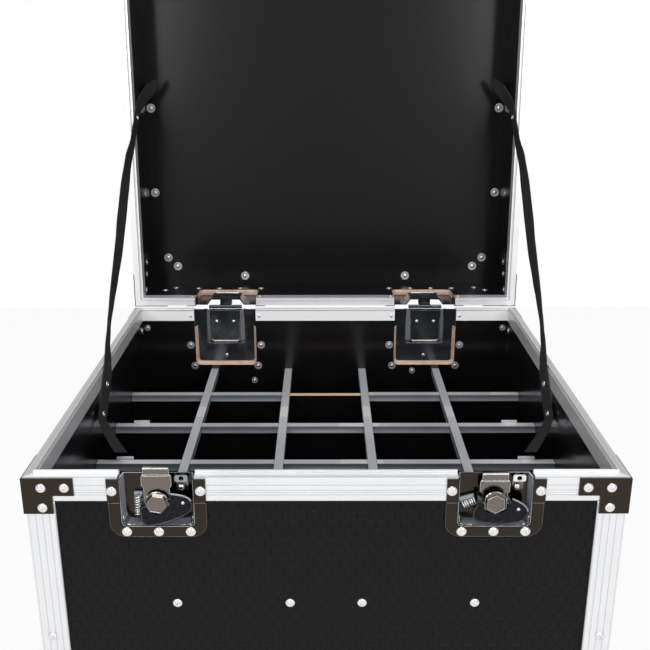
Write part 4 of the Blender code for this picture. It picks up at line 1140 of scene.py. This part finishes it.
def hub(name, body, place):
    # the hub's forged face: bevels, a raised rim and a small hole in the middle, with bright beads painted as
    # highlights on its edges
    look, steps = hubLook, 12
    bm = bmesh.new()
    layers = [ringAt(bm, place, hexagon(radius, depth)) for radius, depth in look["face"]]
    holes = [ringAt(bm, place, circle(radius, steps, depth)) for radius, depth in look["hole"]]
    bridge(bm, layers, capped=False)
    bridge(bm, holes, capped=False)
    bm.faces.new(layers[0])
    bm.faces.new(holes[-1])
    for index in range(6):
        around = [holes[0][(2 * index + step) % steps] for step in (3, 2, 1)]
        bm.faces.new((layers[-1][index], layers[-1][(index + 1) % 6], *around))
    newPiece(f"hub_face_{name}", bm, "taupeChrome", body, smoothAngle=18)
    bm = bmesh.new()
    for radius, depth, wire in look["edges"]:
        points = [place @ Vector(point) for point in hexagon(radius, depth)]
        for pair in zip(points, points[1:] + points[:1]):
            tube(bm, pair, wire, 6)
    return newPiece(f"hub_edges_{name}", bm, "brightChrome", body)


hookLook = {"half": 0.0130, "ear": 0.0150, "neck": 0.0070, "earLow": 0.0200, "foot": -0.0060, "out": 0.0062}


def hookEdges(name, body, place):
    # bright beads and dots painted as highlights on the rims of the hook's plate and its lip; heights count
    # from the crank's axis
    look = hookLook
    half, ear, top, y = look["half"], look["ear"], latchLook["hubDrop"], look["out"]
    earTop, earLow = top - look["neck"], top - look["earLow"]
    bm = bmesh.new()
    for side in (-1, 1):
        rim = [(side * half, top - 0.0002), (side * half, earTop), (side * ear, earTop - 0.0020)]
        rim += [(side * ear, earLow), (side * half, earLow - 0.0020), (side * half, look["foot"])]
        bead(bm, place, rim, y, 0.00040, sides=6)
        dome(bm, standing(place, side * (half + 0.0002), earTop - 0.0012, y + 0.0002), 0.0013, 0.0007, 12)
    bead(bm, place, [(-half, top - 0.0006), (half, top - 0.0006)], y + 0.0001, 0.00100)
    for height, wire in ((earTop - 0.0004, 0.0003), (earTop - 0.0019, 0.00042)):
        bead(bm, place, [(-half + 0.001, height), (half - 0.001, height)], y - 0.0001, wire, sides=6)
    return newPiece(name, bm, "brightChrome", body)


wingLook = {
    "thick": 0.0008,
    "inner": 0.0129,
    "slotTop": 0.0012,
    "slotHalf": 0.0168,
    "edge": [(0.0168, 0.0044), (0.0232, 0.0012), (0.0297, -0.0030), (0.0333, -0.0080), (0.0326, -0.0148),
             (0.0272, -0.0206), (0.0160, -0.0228), (0.0, -0.0236), (-0.0160, -0.0218), (-0.0222, -0.0165),
             (-0.0208, -0.0090), (-0.0180, -0.0024)],
    "knuckle": [(0, 0), (0.0021, 0), (0.0024, 0.0003), (0.0024, 0.0037), (0.0021, 0.0040), (0, 0.0040)],
    "rim": 0.00095,
    "brightRim": 0.00105,
}


def wingBlade(name, body, place, node):
    # the folding wing: a lobed plate with a rolled rim and the knuckles of its pin, hinged at its origin
    look = wingLook
    outer = roundedOff(look["edge"])
    inner = [(-look["slotHalf"], look["slotTop"]), *arc(0, 0, look["inner"], 180, 360, 18),
             (look["slotHalf"], look["slotTop"])]
    bm = bmesh.new()
    slab(bm, place, [outer + inner], -look["thick"], look["thick"])
    for side in (-1, 1):
        turn = place @ Matrix.Translation((side * (look["inner"] + 0.0002), 0, 0))
        lathe(bm, look["knuckle"], turn @ Matrix.Rotation(side * pi / 2, 4, "Y"), 14)
    blade = newPiece(name, bm, "wingChrome", body, smoothAngle=30)
    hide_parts(node)
    beads(f"{name}_rim", "wingRim", body, place, [(outer, 0, look["rim"])])
    # the upper edge, which alone catches the light
    upper = [(x, z + 0.0002) for x, z in outer[:8]]
    return beads(f"{name}_edge", "blueChrome", body, place, [(upper, 0, look["brightRim"])])


eyeLook = {
    "half": 0.0065,
    "high": -0.0020,
    "low": -0.0092,
    "near": 0.0070,
    "far": 0.0082,
    "hole": 0.0026,
    "back": 0.0122,
    "foot": (-0.0210, -0.0085),
    "shelf": (0.0074, 0.0134),
    "shelfDrop": 0.0080,
    "rivet": (-0.001, -0.0172),
}


def lockEye(name, finish, place):
    # the padlock eye: a tab with a hole, its shelf, and its foot riveted to the pan's back
    look = eyeLook
    half, middle = look["half"], (look["low"] + look["high"]) / 2
    tab = rectangle(-half, half, look["low"], look["high"], 0.0012)
    hole = [(x, middle + z) for x, z, _ in circle(look["hole"], 16)]
    bm = bmesh.new()
    slab(bm, place, [tab, hole], look["near"], look["far"])
    newPiece(f"lock_eye_{name}", bm, finish, "case", smoothAngle=30)
    onBack = place @ Matrix.Translation((0, look["back"], 0)) @ swapYZ
    shelf = place @ Matrix.Translation((0, 0, -look["shelfDrop"])) @ Matrix.Diagonal((1, 1, -1, 1))
    plates(f"eye_foot_{name}", "taupeChrome", "case", [
        (rectangle(-half, half, *look["foot"], 0.0015), 0, 0.0012, 0.0003, onBack),
        (rectangle(0.0003 - half, half - 0.0003, *look["shelf"], 0.0003), 0, 0.0010, 0.0002, shelf),
    ])
    return domes(f"eye_rivet_{name}", "case", [standing(place, *look["rivet"], look["back"])], 0.0042, 0.0030)


for name, own in latchSides.items():
    look = latchLook
    centre = Matrix.Translation((own["side"] * latchX, 0, 0))
    wall = frontWall @ centre
    dishEdges(f"latch_{name}", "case", wall, look, look["drop"], look["panDrop"])
    dishEdges(f"catch_{name}", "lid", lidFront @ centre, look, look["catchDrop"], look["catchPanDrop"])
    axis = wall @ Matrix.Translation((0, 0, -look["hubDrop"]))
    crank = axis @ Matrix.Rotation(own["turn"], 4, "Y")
    hub(name, f"latch_crank_{name}", standing(crank, 0, 0))
    rise = look["rise"] * own["turn"] / pi
    hook = axis @ Matrix.Translation((0, -rise * tan(look["slope"]), rise))
    hookEdges(f"hook_edges_{name}", f"latch_hook_{name}", hook)
    outside = crank @ Matrix.Translation((0, -look["bladeOut"], 0))
    wing = outside
    if own["folded"]:
        wing = outside @ Matrix.Rotation(pi, 4, "X") @ Matrix.Diagonal((-1, 1, 1, 1))
    wingBlade(f"wing_blade_{name}", f"latch_wing_{name}", wing, f"latch_wing_{name}")
    stud = standing(outside, *own["stud"], -look["bladeOut"])
    domes(f"wing_stud_{name}", f"latch_wing_{name}", [stud], 0.0020, 0.0012, 14)
    bm = bmesh.new()
    ends = [(x, look["springDeep"], z) for x, z in own["spring"]]
    coil(bm, axis, *ends, look["springRadius"], look["springWire"], own["springTurns"])
    newPiece(f"latch_spring_{name}", bm, "brightChrome", "case")
    # a seat plate over the spring, painted bright and bluish as a painted highlight, the collar round the
    # crank with painted glints, and glints in the pan's lower corners
    x, z = own["seat"]
    tilted = axis @ Matrix.Translation((x, look["seatDeep"], z)) @ Matrix.Rotation(own["seatLean"], 4, "Y")
    half, thick, wide = own["seatHalf"], look["seatThick"], look["seatWide"]
    outline = rectangle(-half, half, -thick, thick, 0.0004)
    plates(f"spring_seat_{name}", "blueChrome", "case", [(outline, -wide, wide, 0.0003, tilted)])
    collar = arc(0, 0, look["collar"], *look["collarTurn"], 15)
    beads(f"crank_collar_{name}", "glintChrome", f"latch_crank_{name}", axis,
          [(collar, -0.0004, look["collarWire"])])
    corner, low = look["panRound"], look["glintIn"] - look["panDrop"]
    half = look["panHalf"] - look["glintIn"]
    runs = []
    for hand, start in ((-1, 180), (1, 360)):
        rim = [(hand * half, low + look["glintUp"])]
        rim += arc(hand * (half - corner), low + corner, corner, start, 270)
        rim.append((hand * (half - look["glintAlong"]), low))
        runs.append((rim, flangeFace + look["glintIn"], look["glintWire"]))
    beads(f"pan_glints_{name}", "glintChrome", "case", wall, runs)
    lockEye(name, own["eye"], wall @ Matrix.Translation((look["eyeX"], 0, 0)))


# Hinges, seen from inside the case

print("hinges")
hingeLook = {
    "half": 0.0630,
    "drop": 0.1060,
    "lidDrop": 0.0810,
    "corner": 0.0100,
    "window": 0.04895,
    "panHalf": 0.02925,
    "panDrop": 0.0590,
    "lidPanDrop": 0.0510,
    "panRound": 0.0060,
    "panBack": 0.0105,
    "panDraft": 0.0065,
    "cutHalf": 0.04905,
    "cutTop": -0.0290,
    "cutRound": 0.0085,
    "cutDrop": 0.0944,
    "cutWidth": 0.0040,
    "lidCutDrop": 0.0638,
    "lidCutWidth": 0.0009,
    "leaf": (-0.0262, 0.0262, -0.0188, -0.0014),
    "lipHalf": 0.0335,
    "studs": [(-0.0135, -0.0205), (0.0135, -0.0205)],
    "lowStud": -0.0807,
    "pins": [(-0.0545, -0.0105), (0.0545, -0.0105)],
}
flangeBack = panelInset - seat


def routedEdge(name, body, place, drop, width):
    # a sloping strip from a board's inner face down to the back of a hinge's flange
    look = hingeLook
    bm = bmesh.new()
    rings = []
    for share, y in ((0, innerInset - 0.0004), (0.35, innerInset - 0.0016), (1, flangeBack + 0.0004)):
        shrink = width * share
        corner = max(look["cutRound"] - shrink, 0.002)
        outline = hanging(look["cutHalf"] - shrink, look["cutTop"], shrink - drop, corner)
        rings.append(ringAt(bm, place, [(x, y, z) for x, z in outline]))
    # a fourth ring just inside the first closes the strip's section
    middle = place @ Vector((0, panelInset, -0.05))
    rings.append([bm.verts.new(vert.co.lerp(middle, 0.004)) for vert in rings[0]])
    bridge(bm, rings + rings[:1], closed=False, capped=False)
    for end in (0, -1):
        bm.faces.new([ring[end] for ring in rings])
    return newPiece(name, bm, "cutPly", body, smoothAngle=40)


def panBends(name, body, place, drop):
    # bright beads painted as the highlights on the bend round the flat back of a hinge's pan and, outside it,
    # round the pan's foot
    look, runs = hingeLook, []
    for shrink, y, radius in ((look["panDraft"] * 0.96, look["panBack"] + 0.0001, 0.00085),
                              (-0.0012, flangeBack + 0.0002, 0.00050)):
        outline = hanging(look["panHalf"] - shrink, -0.0150, shrink - drop, look["panRound"])
        runs.append((outline, y, radius))
    return beads(name, "brightChrome", body, place, runs)


for side, name in ((-1, "left"), (1, "right")):
    look = hingeLook
    centre = Matrix.Translation((side * hingeX, 0, 0))
    wall, lidWall = rearWall @ centre, lidRear @ centre
    dishEdges(f"hinge_{name}", "case", wall, look, look["drop"], look["panDrop"])
    dishEdges(f"lid_hinge_{name}", "lid", lidWall, look, look["lidDrop"], look["lidPanDrop"])
    routedEdge(f"hinge_cut_{name}", "case", wall, look["cutDrop"], look["cutWidth"])
    routedEdge(f"lid_hinge_cut_{name}", "lid", lidWall, look["lidCutDrop"], look["lidCutWidth"])
    panBends(f"hinge_bends_{name}", "case", wall, look["panDrop"])
    panBends(f"lid_hinge_bends_{name}", "lid", lidWall, look["lidPanDrop"])
    # the lid's leaf over the knuckles, and a bright bead painted as the highlight on the upper edge of the
    # base's leaf
    leaf = rectangle(*look["leaf"], 0.0008)
    plates(f"hinge_leaf_{name}", "glintChrome", "lid", [(leaf, 0.0022, 0.0032, 0.0003, lidWall)])
    lip = [(-look["lipHalf"], -0.0009), (look["lipHalf"], -0.0009)]
    beads(f"hinge_lip_{name}", "brightChrome", "case", wall, [(lip, 0.0036, 0.0006)])
    # the pan's lowest slope catches the light as one bright band
    half, foot = look["panHalf"] - look["panDraft"] - 0.0035, -look["panDrop"]
    high = (look["panBack"] - 0.0006, foot + look["panDraft"] - 0.0012)
    low = (look["panBack"] - 0.0040, foot + 0.0016)
    band = [Vector(point) for point in ((-half, *high), (half, *high), (half, *low), (-half, *low))]
    lift = Vector((0, 0.0004, -0.0006))
    bm = bmesh.new()
    bridge(bm, [ringAt(bm, wall, [point + lift * share for point in band]) for share in (1, -3)])
    newPiece(f"hinge_band_{name}", bm, "brightChrome", "case", smoothAngle=30)
    places = [inward(wall, x, z, look["panBack"]) for x, z in look["studs"]]
    places.append(inward(wall, 0, look["lowStud"], flangeBack))
    domes(f"hinge_studs_{name}", "case", places, 0.0030, 0.0016, 16)
    for label, body, frameHere, points, size in (
        ("hinge", "case", wall, rivetLook["hinge"], "hinge"),
        ("lid_hinge", "lid", lidWall, rivetLook["lidHinge"], "small"),
    ):
        places = [inward(frameHere, x, z, innerInset) for x, z in points]
        washers(f"{label}_washers_{name}", places, size, body)
    for label, body, frameHere in (("rear", "case", wall), ("lid", "lid", lidWall)):
        places = [inward(frameHere, x, z, rimWidth) for x, z in look["pins"]]
        rivets(f"{label}_rail_pins_{name}", places, "pin", body, 14)

# Webbing straps

print("straps")
strapLook = {
    "width": 0.025,
    "thick": 0.0017,
    "gap": 0.0006,
    "lidAlong": 0.301,
    "lidDeep": 0.022,
    "fromRear": 0.284,
    "drop": 0.021,
    "tailUp": 0.066,
    "tailDown": 0.039,
    "tailOut": 0.019,
    "fold": 0.022,
    "twist": radians(20),
    "lowTwist": radians(10),
    # half of the section, and share of the way down, degrees of twist and metres of sway
    "section": [(-0.5, 0), (-0.49, 0.32), (-0.46, 0.5), (-0.40, 0.44), (0.0, 0.46), (0.40, 0.44), (0.46, 0.5),
                (0.49, 0.32)],
    "sway": [(0, 0, 0), (0.11, 0, 0.0015), (0.20, 8, 0.0048), (0.30, 15, 0.0050), (0.42, 16, 0.0042),
             (0.53, 12, 0.0035), (0.64, 6, 0.0038), (0.70, 1, 0.0042), (0.78, -5, 0.0042), (0.84, -3, 0.0030),
             (0.90, 6, 0.0012), (0.95, 11, 0.0003), (1, 10, 0)],
    "colour": (0.0065, 0.0065, 0.0070),
    "cord": (0.026, 0.025, 0.026),
    "faded": (0.040, 0.039, 0.040),
    "fibre": (0.035, 0.034, 0.035),
    "warpPitch": 0.0016,
    "weftPitch": 0.0011,
    "herringbone": 0.0064,
}


def strapEnds():
    # (Y, Z) of a strap at its rivets, in the lid and in the base
    look = strapLook
    lean, along, deep = openAngle - pi / 2, look["lidAlong"], look["lidDeep"]
    back, up = along * sin(lean) + deep * cos(lean), along * cos(lean) - deep * sin(lean)
    lidAt = Vector((pin.y + back, pin.z + up))
    return lidAt, Vector((rearY - look["fromRear"], rimZ - look["drop"]))


def webbingFinish(name):
    # polypropylene webbing: warp cords in pairs, crossed by a fine weft in a herringbone
    look = strapLook
    made = Finish(name)
    high, low = strapEnds()
    turn = atan2(high.x - low.x, high.y - low.y)
    place = made.node("ShaderNodeMapping", None, {"Vector": made.place(), "Rotation": (turn, 0, 0)})("Vector")
    y, z = made.axes(place)[1:]
    warp = abs((y * (pi / look["warpPitch"])).sine())
    slant = z + abs((y / look["herringbone"]) % 1 - 0.5) * 0.0040
    weft = abs((slant * (pi / look["weftPitch"])).sine())
    fibre = made.noise(1, 3, 0.6, made.stretched((2600, 2600, 500), place))
    fade = made.noise(22, 4, 0.6)
    weave = warp * 0.45 + weft * 0.55
    tone = made.mix(weave, look["colour"], look["cord"])
    tone = made.mix(made.smooth(fade, 0.55, 0.8) * 0.35, tone, look["faded"])
    return made.done(
        base_color=made.mix(fibre * 0.3, tone, look["fibre"]),
        roughness=0.62 + fibre * 0.25,
        normal=made.bump(weave + fibre * 0.25, 0.9, 0.0004),
        specular_ior_level=0.3,
    )


def strapPoints():
    # (depth, height, twist, bulge) down a strap from its tail in the lid to its tail in the base
    look = strapLook
    lidAt, baseAt = strapEnds()
    run = baseAt - lidAt
    way = run.normalized()
    low = baseAt + way * (look["fold"] * 2)
    line = []
    steps = 10
    for step in range(steps, 0, -1):
        share = step / steps
        tail = lidAt - way * (0.010 + (look["tailUp"] - 0.010) * share)
        line.append((*tail, look["twist"] * share, look["fold"] * share ** 1.6))
    steps = 48
    for step in range(steps + 1):
        share = step / steps
        late = next(index for index, stop in enumerate(look["sway"]) if stop[0] >= share)
        before, after = look["sway"][max(late - 1, 0)], look["sway"][late]
        blend = (share - before[0]) / max(after[0] - before[0], 1e-6)
        blend = blend * blend * (3 - 2 * blend)
        twist, sway = (before[part] + (after[part] - before[part]) * blend for part in (1, 2))
        line.append((*(lidAt + run * share), radians(twist), -sway))
    line.append((*low, look["lowTwist"], 0))
    steps = 12
    for step in range(1, steps + 1):
        share = step / steps
        tail = low + Vector((-look["tailOut"], -look["tailDown"])) * share
        line.append((*tail, look["lowTwist"] + look["twist"] * 0.8 * share, look["fold"] * share ** 1.3))
    return line


def webbing(side, name):
    # a woven strap with rounded selvedges, swept as one closed strip
    look = strapLook
    width, thick = look["width"], look["thick"]
    wall = halfWidth - rimWidth - look["gap"] - thick / 2
    section = look["section"] + [(-across, -deep) for across, deep in look["section"]]
    line = strapPoints()
    bm = bmesh.new()
    rings = []
    for index, (y, z, twist, bulge) in enumerate(line):
        before = line[max(index - 1, 0)]
        after = line[min(index + 1, len(line) - 1)]
        along = Vector((0, after[0] - before[0], after[1] - before[1])).normalized()
        across = Vector((0, -along.z, along.y)) * cos(twist) + Vector((-side, 0, 0)) * sin(twist)
        # a twisted strap rests on the wall by one edge, unless it sways free of the wall
        resting = 1 - min(max(-bulge / 0.004, 0), 1)
        out = width / 2 * abs(sin(twist)) * resting
        middle = Vector((side * (wall - bulge - out), y, z))
        normal = along.cross(across).normalized()
        taper = 0.55 + 0.45 * min(1, index / 3)
        half, deep = across * width * taper, normal * thick
        rings.append([bm.verts.new(middle + half * a + deep * d) for a, d in section])
    bridge(bm, rings)
    piece = newPiece(f"webbing_{name}", bm, "webbing", None, smoothAngle=50)
    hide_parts(f"strap_{name}")
    lidAt, baseAt = strapEnds()
    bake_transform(piece)
    way = (baseAt - lidAt).normalized()
    inside = Matrix(((0, 0, -side, 0), (0, 1, 0, 0), (1, 0, 0, 0), (0, 0, 0, 1)))
    for label, body, proud, spots in (
        ("lid", "lid", 0.0009, [lidAt + way * 0.006, lidAt - way * 0.028]),
        ("base", "case", 0.0028, [baseAt - way * 0.004, baseAt + way * 0.038]),
    ):
        places = [Matrix.Translation((side * (wall - proud), *spot)) @ inside for spot in spots]
        rivets(f"strap_rivets_{label}_{name}", places, "strap", body)
    return piece


finishes["webbing"] = webbingFinish("black_webbing")
for side, name in ((-1, "left"), (1, "right")):
    webbing(side, name)

# Little stops behind the dividers

print("divider stops")
stopLook = {"near": 0.024, "far": 0.046, "tall": 0.0045, "thick": 0.0015, "sunk": 0.0008, "behind": 0.0061}
look = stopLook
cellPitch = (halfDepth * 2 - 2 * innerInset + boardThick) / 5
rows = []
for row in (1, 2):
    y = frontY + innerInset + cellPitch * (row + 1) - boardThick / 2 + look["behind"]
    upright = Matrix.Translation((0, y, dividerTop - look["sunk"])) @ swapYZ
    for side in (-1, 1):
        ends = sorted(side * (halfWidth - innerInset - look[end]) for end in ("near", "far"))
        rows.append((rectangle(*ends, 0, look["tall"], 0.0008), 0, look["thick"], 0.0003, upright))
plates("divider_stops", "railX", "case", rows)

# Handles

print("handles")
handleLook = {
    "height": 0.600,
    "half": 0.075,
    "tall": 0.054,
    "corner": 0.010,
    "panHalf": 0.063,
    "panTall": 0.042,
    "panCorner": 0.001,
    "rivetX": 0.068,
    "rivetZ": 0.047,
    "pivotUp": 0.024,
    "pivotIn": 0.005,
    "bailDrop": 0.030,
    "bailHalf": 0.050,
    "gripHalf": 0.040,
    "gripRadius": 0.0061,
    "gripRibs": 16,
    "springRadius": 0.0048,
    "springWire": 0.0006,
    "springFrom": 0.0062,
    "springLong": 0.0042,
    "springTurns": 3.5,
}


def rounded(half, tall, corner):
    # (X, Z) points once round a rectangle with round corners
    corners = ((-1, -1, 180), (1, -1, 270), (1, 1, 0), (-1, 1, 90))
    return [point for x, z, start in corners
            for point in arc(x * (half - corner), z * (tall - corner), corner, start, start + 90)]


sideways = Matrix.Rotation(pi / 2, 4, "Y")
for side, name in ((-1, "left"), (1, "right")):
    look = handleLook
    wall = sideWall(side, baseZ + look["height"])
    places = [standing(wall, x * look["rivetX"], z * look["rivetZ"], flangeFace)
              for x in (-1, 1) for z in (-1, 1)]
    rivets(f"handle_rivets_{name}", places, "handle", "case")
    # lighter beads painted as highlights round the dish's edge and its pan's mouth
    runs = [(rounded(look["half"], look["tall"], look["corner"]), flangeFace + 0.0002, 0.0003),
            (rounded(look["panHalf"], look["panTall"], look["panCorner"]), flangeFace + 0.0002, 0.0006)]
    beads(f"handle_edges_{name}", "edgeChrome", "case", wall, runs, True, 6)
    # the moulded grip with finger grooves round the bail's bar
    pivot = wall @ Matrix.Translation((0, flangeBack + look["pivotIn"], look["pivotUp"]))
    across = pivot @ Matrix.Translation((-look["gripHalf"], 0, -look["bailDrop"])) @ sideways
    length, steps = look["gripHalf"] * 2, look["gripRibs"] * 4
    profile = [(0, 0), (0.0050, 0), (0.0060, 0.0012)]
    for step in range(steps + 1):
        share = step / steps
        swell = 0.0004 * sin(2 * pi * share * look["gripRibs"]) + 0.0005 * sin(pi * share)
        profile.append((look["gripRadius"] + swell, 0.0016 + (length - 0.0032) * share))
    profile += [(0.0060, length - 0.0012), (0.0050, length), (0, length)]
    bm = bmesh.new()
    lathe(bm, profile, across, 18)
    newPiece(f"handle_grip_{name}", bm, "grip", f"handle_bail_{name}", smoothAngle=50)
    bm = bmesh.new()
    for hand in (-1, 1):
        start = look["bailHalf"] + look["springFrom"]
        ends = (hand * start, 0, 0), (hand * (start + look["springLong"]), 0, 0)
        coil(bm, pivot, *ends, look["springRadius"], look["springWire"], look["springTurns"], 12)
    newPiece(f"handle_springs_{name}", bm, "zinc", "case")

# Casters

print("casters")
casterLook = {
    "x": 0.2215,
    "out": 0.210,
    "plateLow": 0.1271,
    "boltX": 0.036,
    "boltY": 0.0285,
    "boltRadius": 0.0062,
    "boltTall": 0.0040,
    "race": 0.0342,
    "seams": (0.1233, 0.1183),
    "trail": 0.034,
    "axle": 0.050,
    "discOut": 0.0128,
    "disc": [(0.0070, -0.0008), (0.0070, 0.0030), (0.0105, 0.0030), (0.0120, 0.0012), (0.0150, 0.0006),
             (0.0300, 0.0004), (0.0335, 0.0016), (0.0352, 0.0010), (0.0352, -0.0008)],
    "tread": 0.0495,
    "treadRings": (-0.0052, 0.0, 0.0052),
}


def boltHead(bm, place, radius, tall):
    # a hexagon head with a washer face and chamfered corners
    face = radius * 1.25
    lathe(bm, [(0, -0.0005), (face, -0.0005), (face, 0.0008), (radius, 0.0009), (0, 0.0009)], place)
    rings = [(radius, 0.0008), (radius, tall * 0.8), (radius * 0.86, tall), (radius * 0.3, tall * 1.02)]
    bridge(bm, [ringAt(bm, place, hexagon(reach, height)) for reach, height in rings])


look = casterLook
below = Matrix.Rotation(pi, 4, "X")
for endName, end in (("front", -1), ("rear", 1)):
    for sideName, side in (("left", -1), ("right", 1)):
        label = f"{endName}_{sideName}"
        spot = Vector((side * look["x"], caseY + end * look["out"], 0))
        bm = bmesh.new()
        for x in (-look["boltX"], look["boltX"]):
            for y in (-look["boltY"], look["boltY"]):
                place = Matrix.Translation(spot + Vector((x, y, look["plateLow"]))) @ below
                boltHead(bm, place, look["boltRadius"], look["boltTall"])
        newPiece(f"caster_bolts_{label}", bm, "zinc", "case", smoothAngle=25)
        bm = bmesh.new()
        for height in look["seams"]:
            ring = [spot + Vector(point) for point in circle(look["race"], 32, height)]
            tube(bm, ring, 0.0006, 6, True)
        newPiece(f"caster_race_seams_{label}", bm, "zinc", f"caster_fork_{label}")
        axle = Matrix.Translation(spot + Vector((0, look["trail"], look["axle"]))) @ sideways
        bm = bmesh.new()
        for turn in (pi, 0):
            place = axle @ Matrix.Rotation(turn, 4, "X") @ Matrix.Translation((0, 0, look["discOut"]))
            lathe(bm, look["disc"], place, 36)
        newPiece(f"wheel_discs_{label}", bm, "hubPlastic", f"caster_wheel_{label}", smoothAngle=30)
        bm = bmesh.new()
        for offset in look["treadRings"]:
            tube(bm, [axle @ Vector(point) for point in circle(look["tread"], 48, offset)], 0.00045, 5, True)
        newPiece(f"wheel_tread_{label}", bm, "tyre", f"caster_wheel_{label}")


# Room, light and camera

print("room, light and camera")
roomLook = {
    "floor": (0.86, 0.86, 0.86),
    "floorGlow": 0.90,
    "backdrop": (0.90, 0.90, 0.90),
    "backdropY": 3.6,
    "half": 8,
    "tall": 6,
    "world": 0.62,
    # place, aim, size and power of each lamp
    "lamp_left": ((-1.5, -3.4, 2.1), (0, caseY, 1.1), (1.2, 1.2), 34),
    "lamp_right": ((1.5, -3.4, 2.1), (0, caseY, 1.1), (1.2, 1.2), 34),
    "lamp_above": ((0, -0.6, 3.6), (0, caseY, 1.0), (1.6, 1.2), 30),
}
cameraLook = {
    "place": (-0.0024, -1.1547, 1.4835),
    "turn": (90 - 18.543, 0.06, 0.02),
    "lens": 49.12,
    "shift": (0.0030, 0.0019),
}


def stageSheet(name, corners, colour, glow):
    # a pale sheet that the camera and shiny metal see as nearly white, and that keeps the case's shadow
    bm = bmesh.new()
    bm.faces.new([bm.verts.new(c) for c in corners])
    made = Finish(name)
    tone = made.mix(made.noise(0.6, 2), tuple(c * 0.985 for c in colour), colour)
    diffuse = made.node("ShaderNodeBsdfDiffuse", None, {"Color": tone})("BSDF")
    ray = made.node("ShaderNodeLightPath")
    seen = (ray("Is Camera Ray") + ray("Is Glossy Ray") + ray("Is Transmission Ray")).least(1)
    white = made.node("ShaderNodeEmission", None, {"Color": (1.0, 1.0, 1.0), "Strength": 1.0})("Emission")
    shown = made.node("ShaderNodeMixShader", None, {0: seen * glow, 1: diffuse, 2: white})("Shader")
    made.node("ShaderNodeOutputMaterial", None, {"Surface": shown})
    piece = newPiece(name, bm, made.material, None)
    return piece


def lampAt(name, place, aim, size, power):
    data = bpy.data.lights.new(name, "AREA")
    data.shape = "RECTANGLE"
    data.size, data.size_y = size
    data.energy = power
    lamp = bpy.data.objects.new(name, data)
    lamp.location = place
    lamp.rotation_euler = (Vector(aim) - Vector(place)).to_track_quat("-Z", "Y").to_euler()
    lamp.visible_camera = False
    bpy.context.scene.collection.objects.link(lamp)
    return lamp


look = roomLook
half, back, tall = look["half"], look["backdropY"], look["tall"]
stageSheet("floor", [(-half, -half, 0), (half, -half, 0), (half, half, 0), (-half, half, 0)],
           look["floor"], look["floorGlow"])
stageSheet("backdrop", [(-half, back, -0.1), (half, back, -0.1), (half, back, tall), (-half, back, tall)],
           look["backdrop"], 1.0)
for name in ("lamp_left", "lamp_right", "lamp_above"):
    lampAt(name, *look[name])

world = bpy.data.worlds.new("studio")
bpy.context.scene.world = world
world.use_nodes = True
world.node_tree.nodes["Background"].inputs["Color"].default_value = (1, 1, 1, 1)
world.node_tree.nodes["Background"].inputs["Strength"].default_value = look["world"]

look = cameraLook
cameraData = bpy.data.cameras.new("camera")
cameraData.sensor_width = 36
cameraData.lens = look["lens"]
cameraData.shift_x, cameraData.shift_y = look["shift"]
camera = bpy.data.objects.new("camera", cameraData)
camera.location = look["place"]
camera.rotation_euler = [radians(angle) for angle in look["turn"]]
bpy.context.scene.collection.objects.link(camera)
bpy.context.scene.camera = camera
bpy.context.scene.view_settings.view_transform = "Standard"
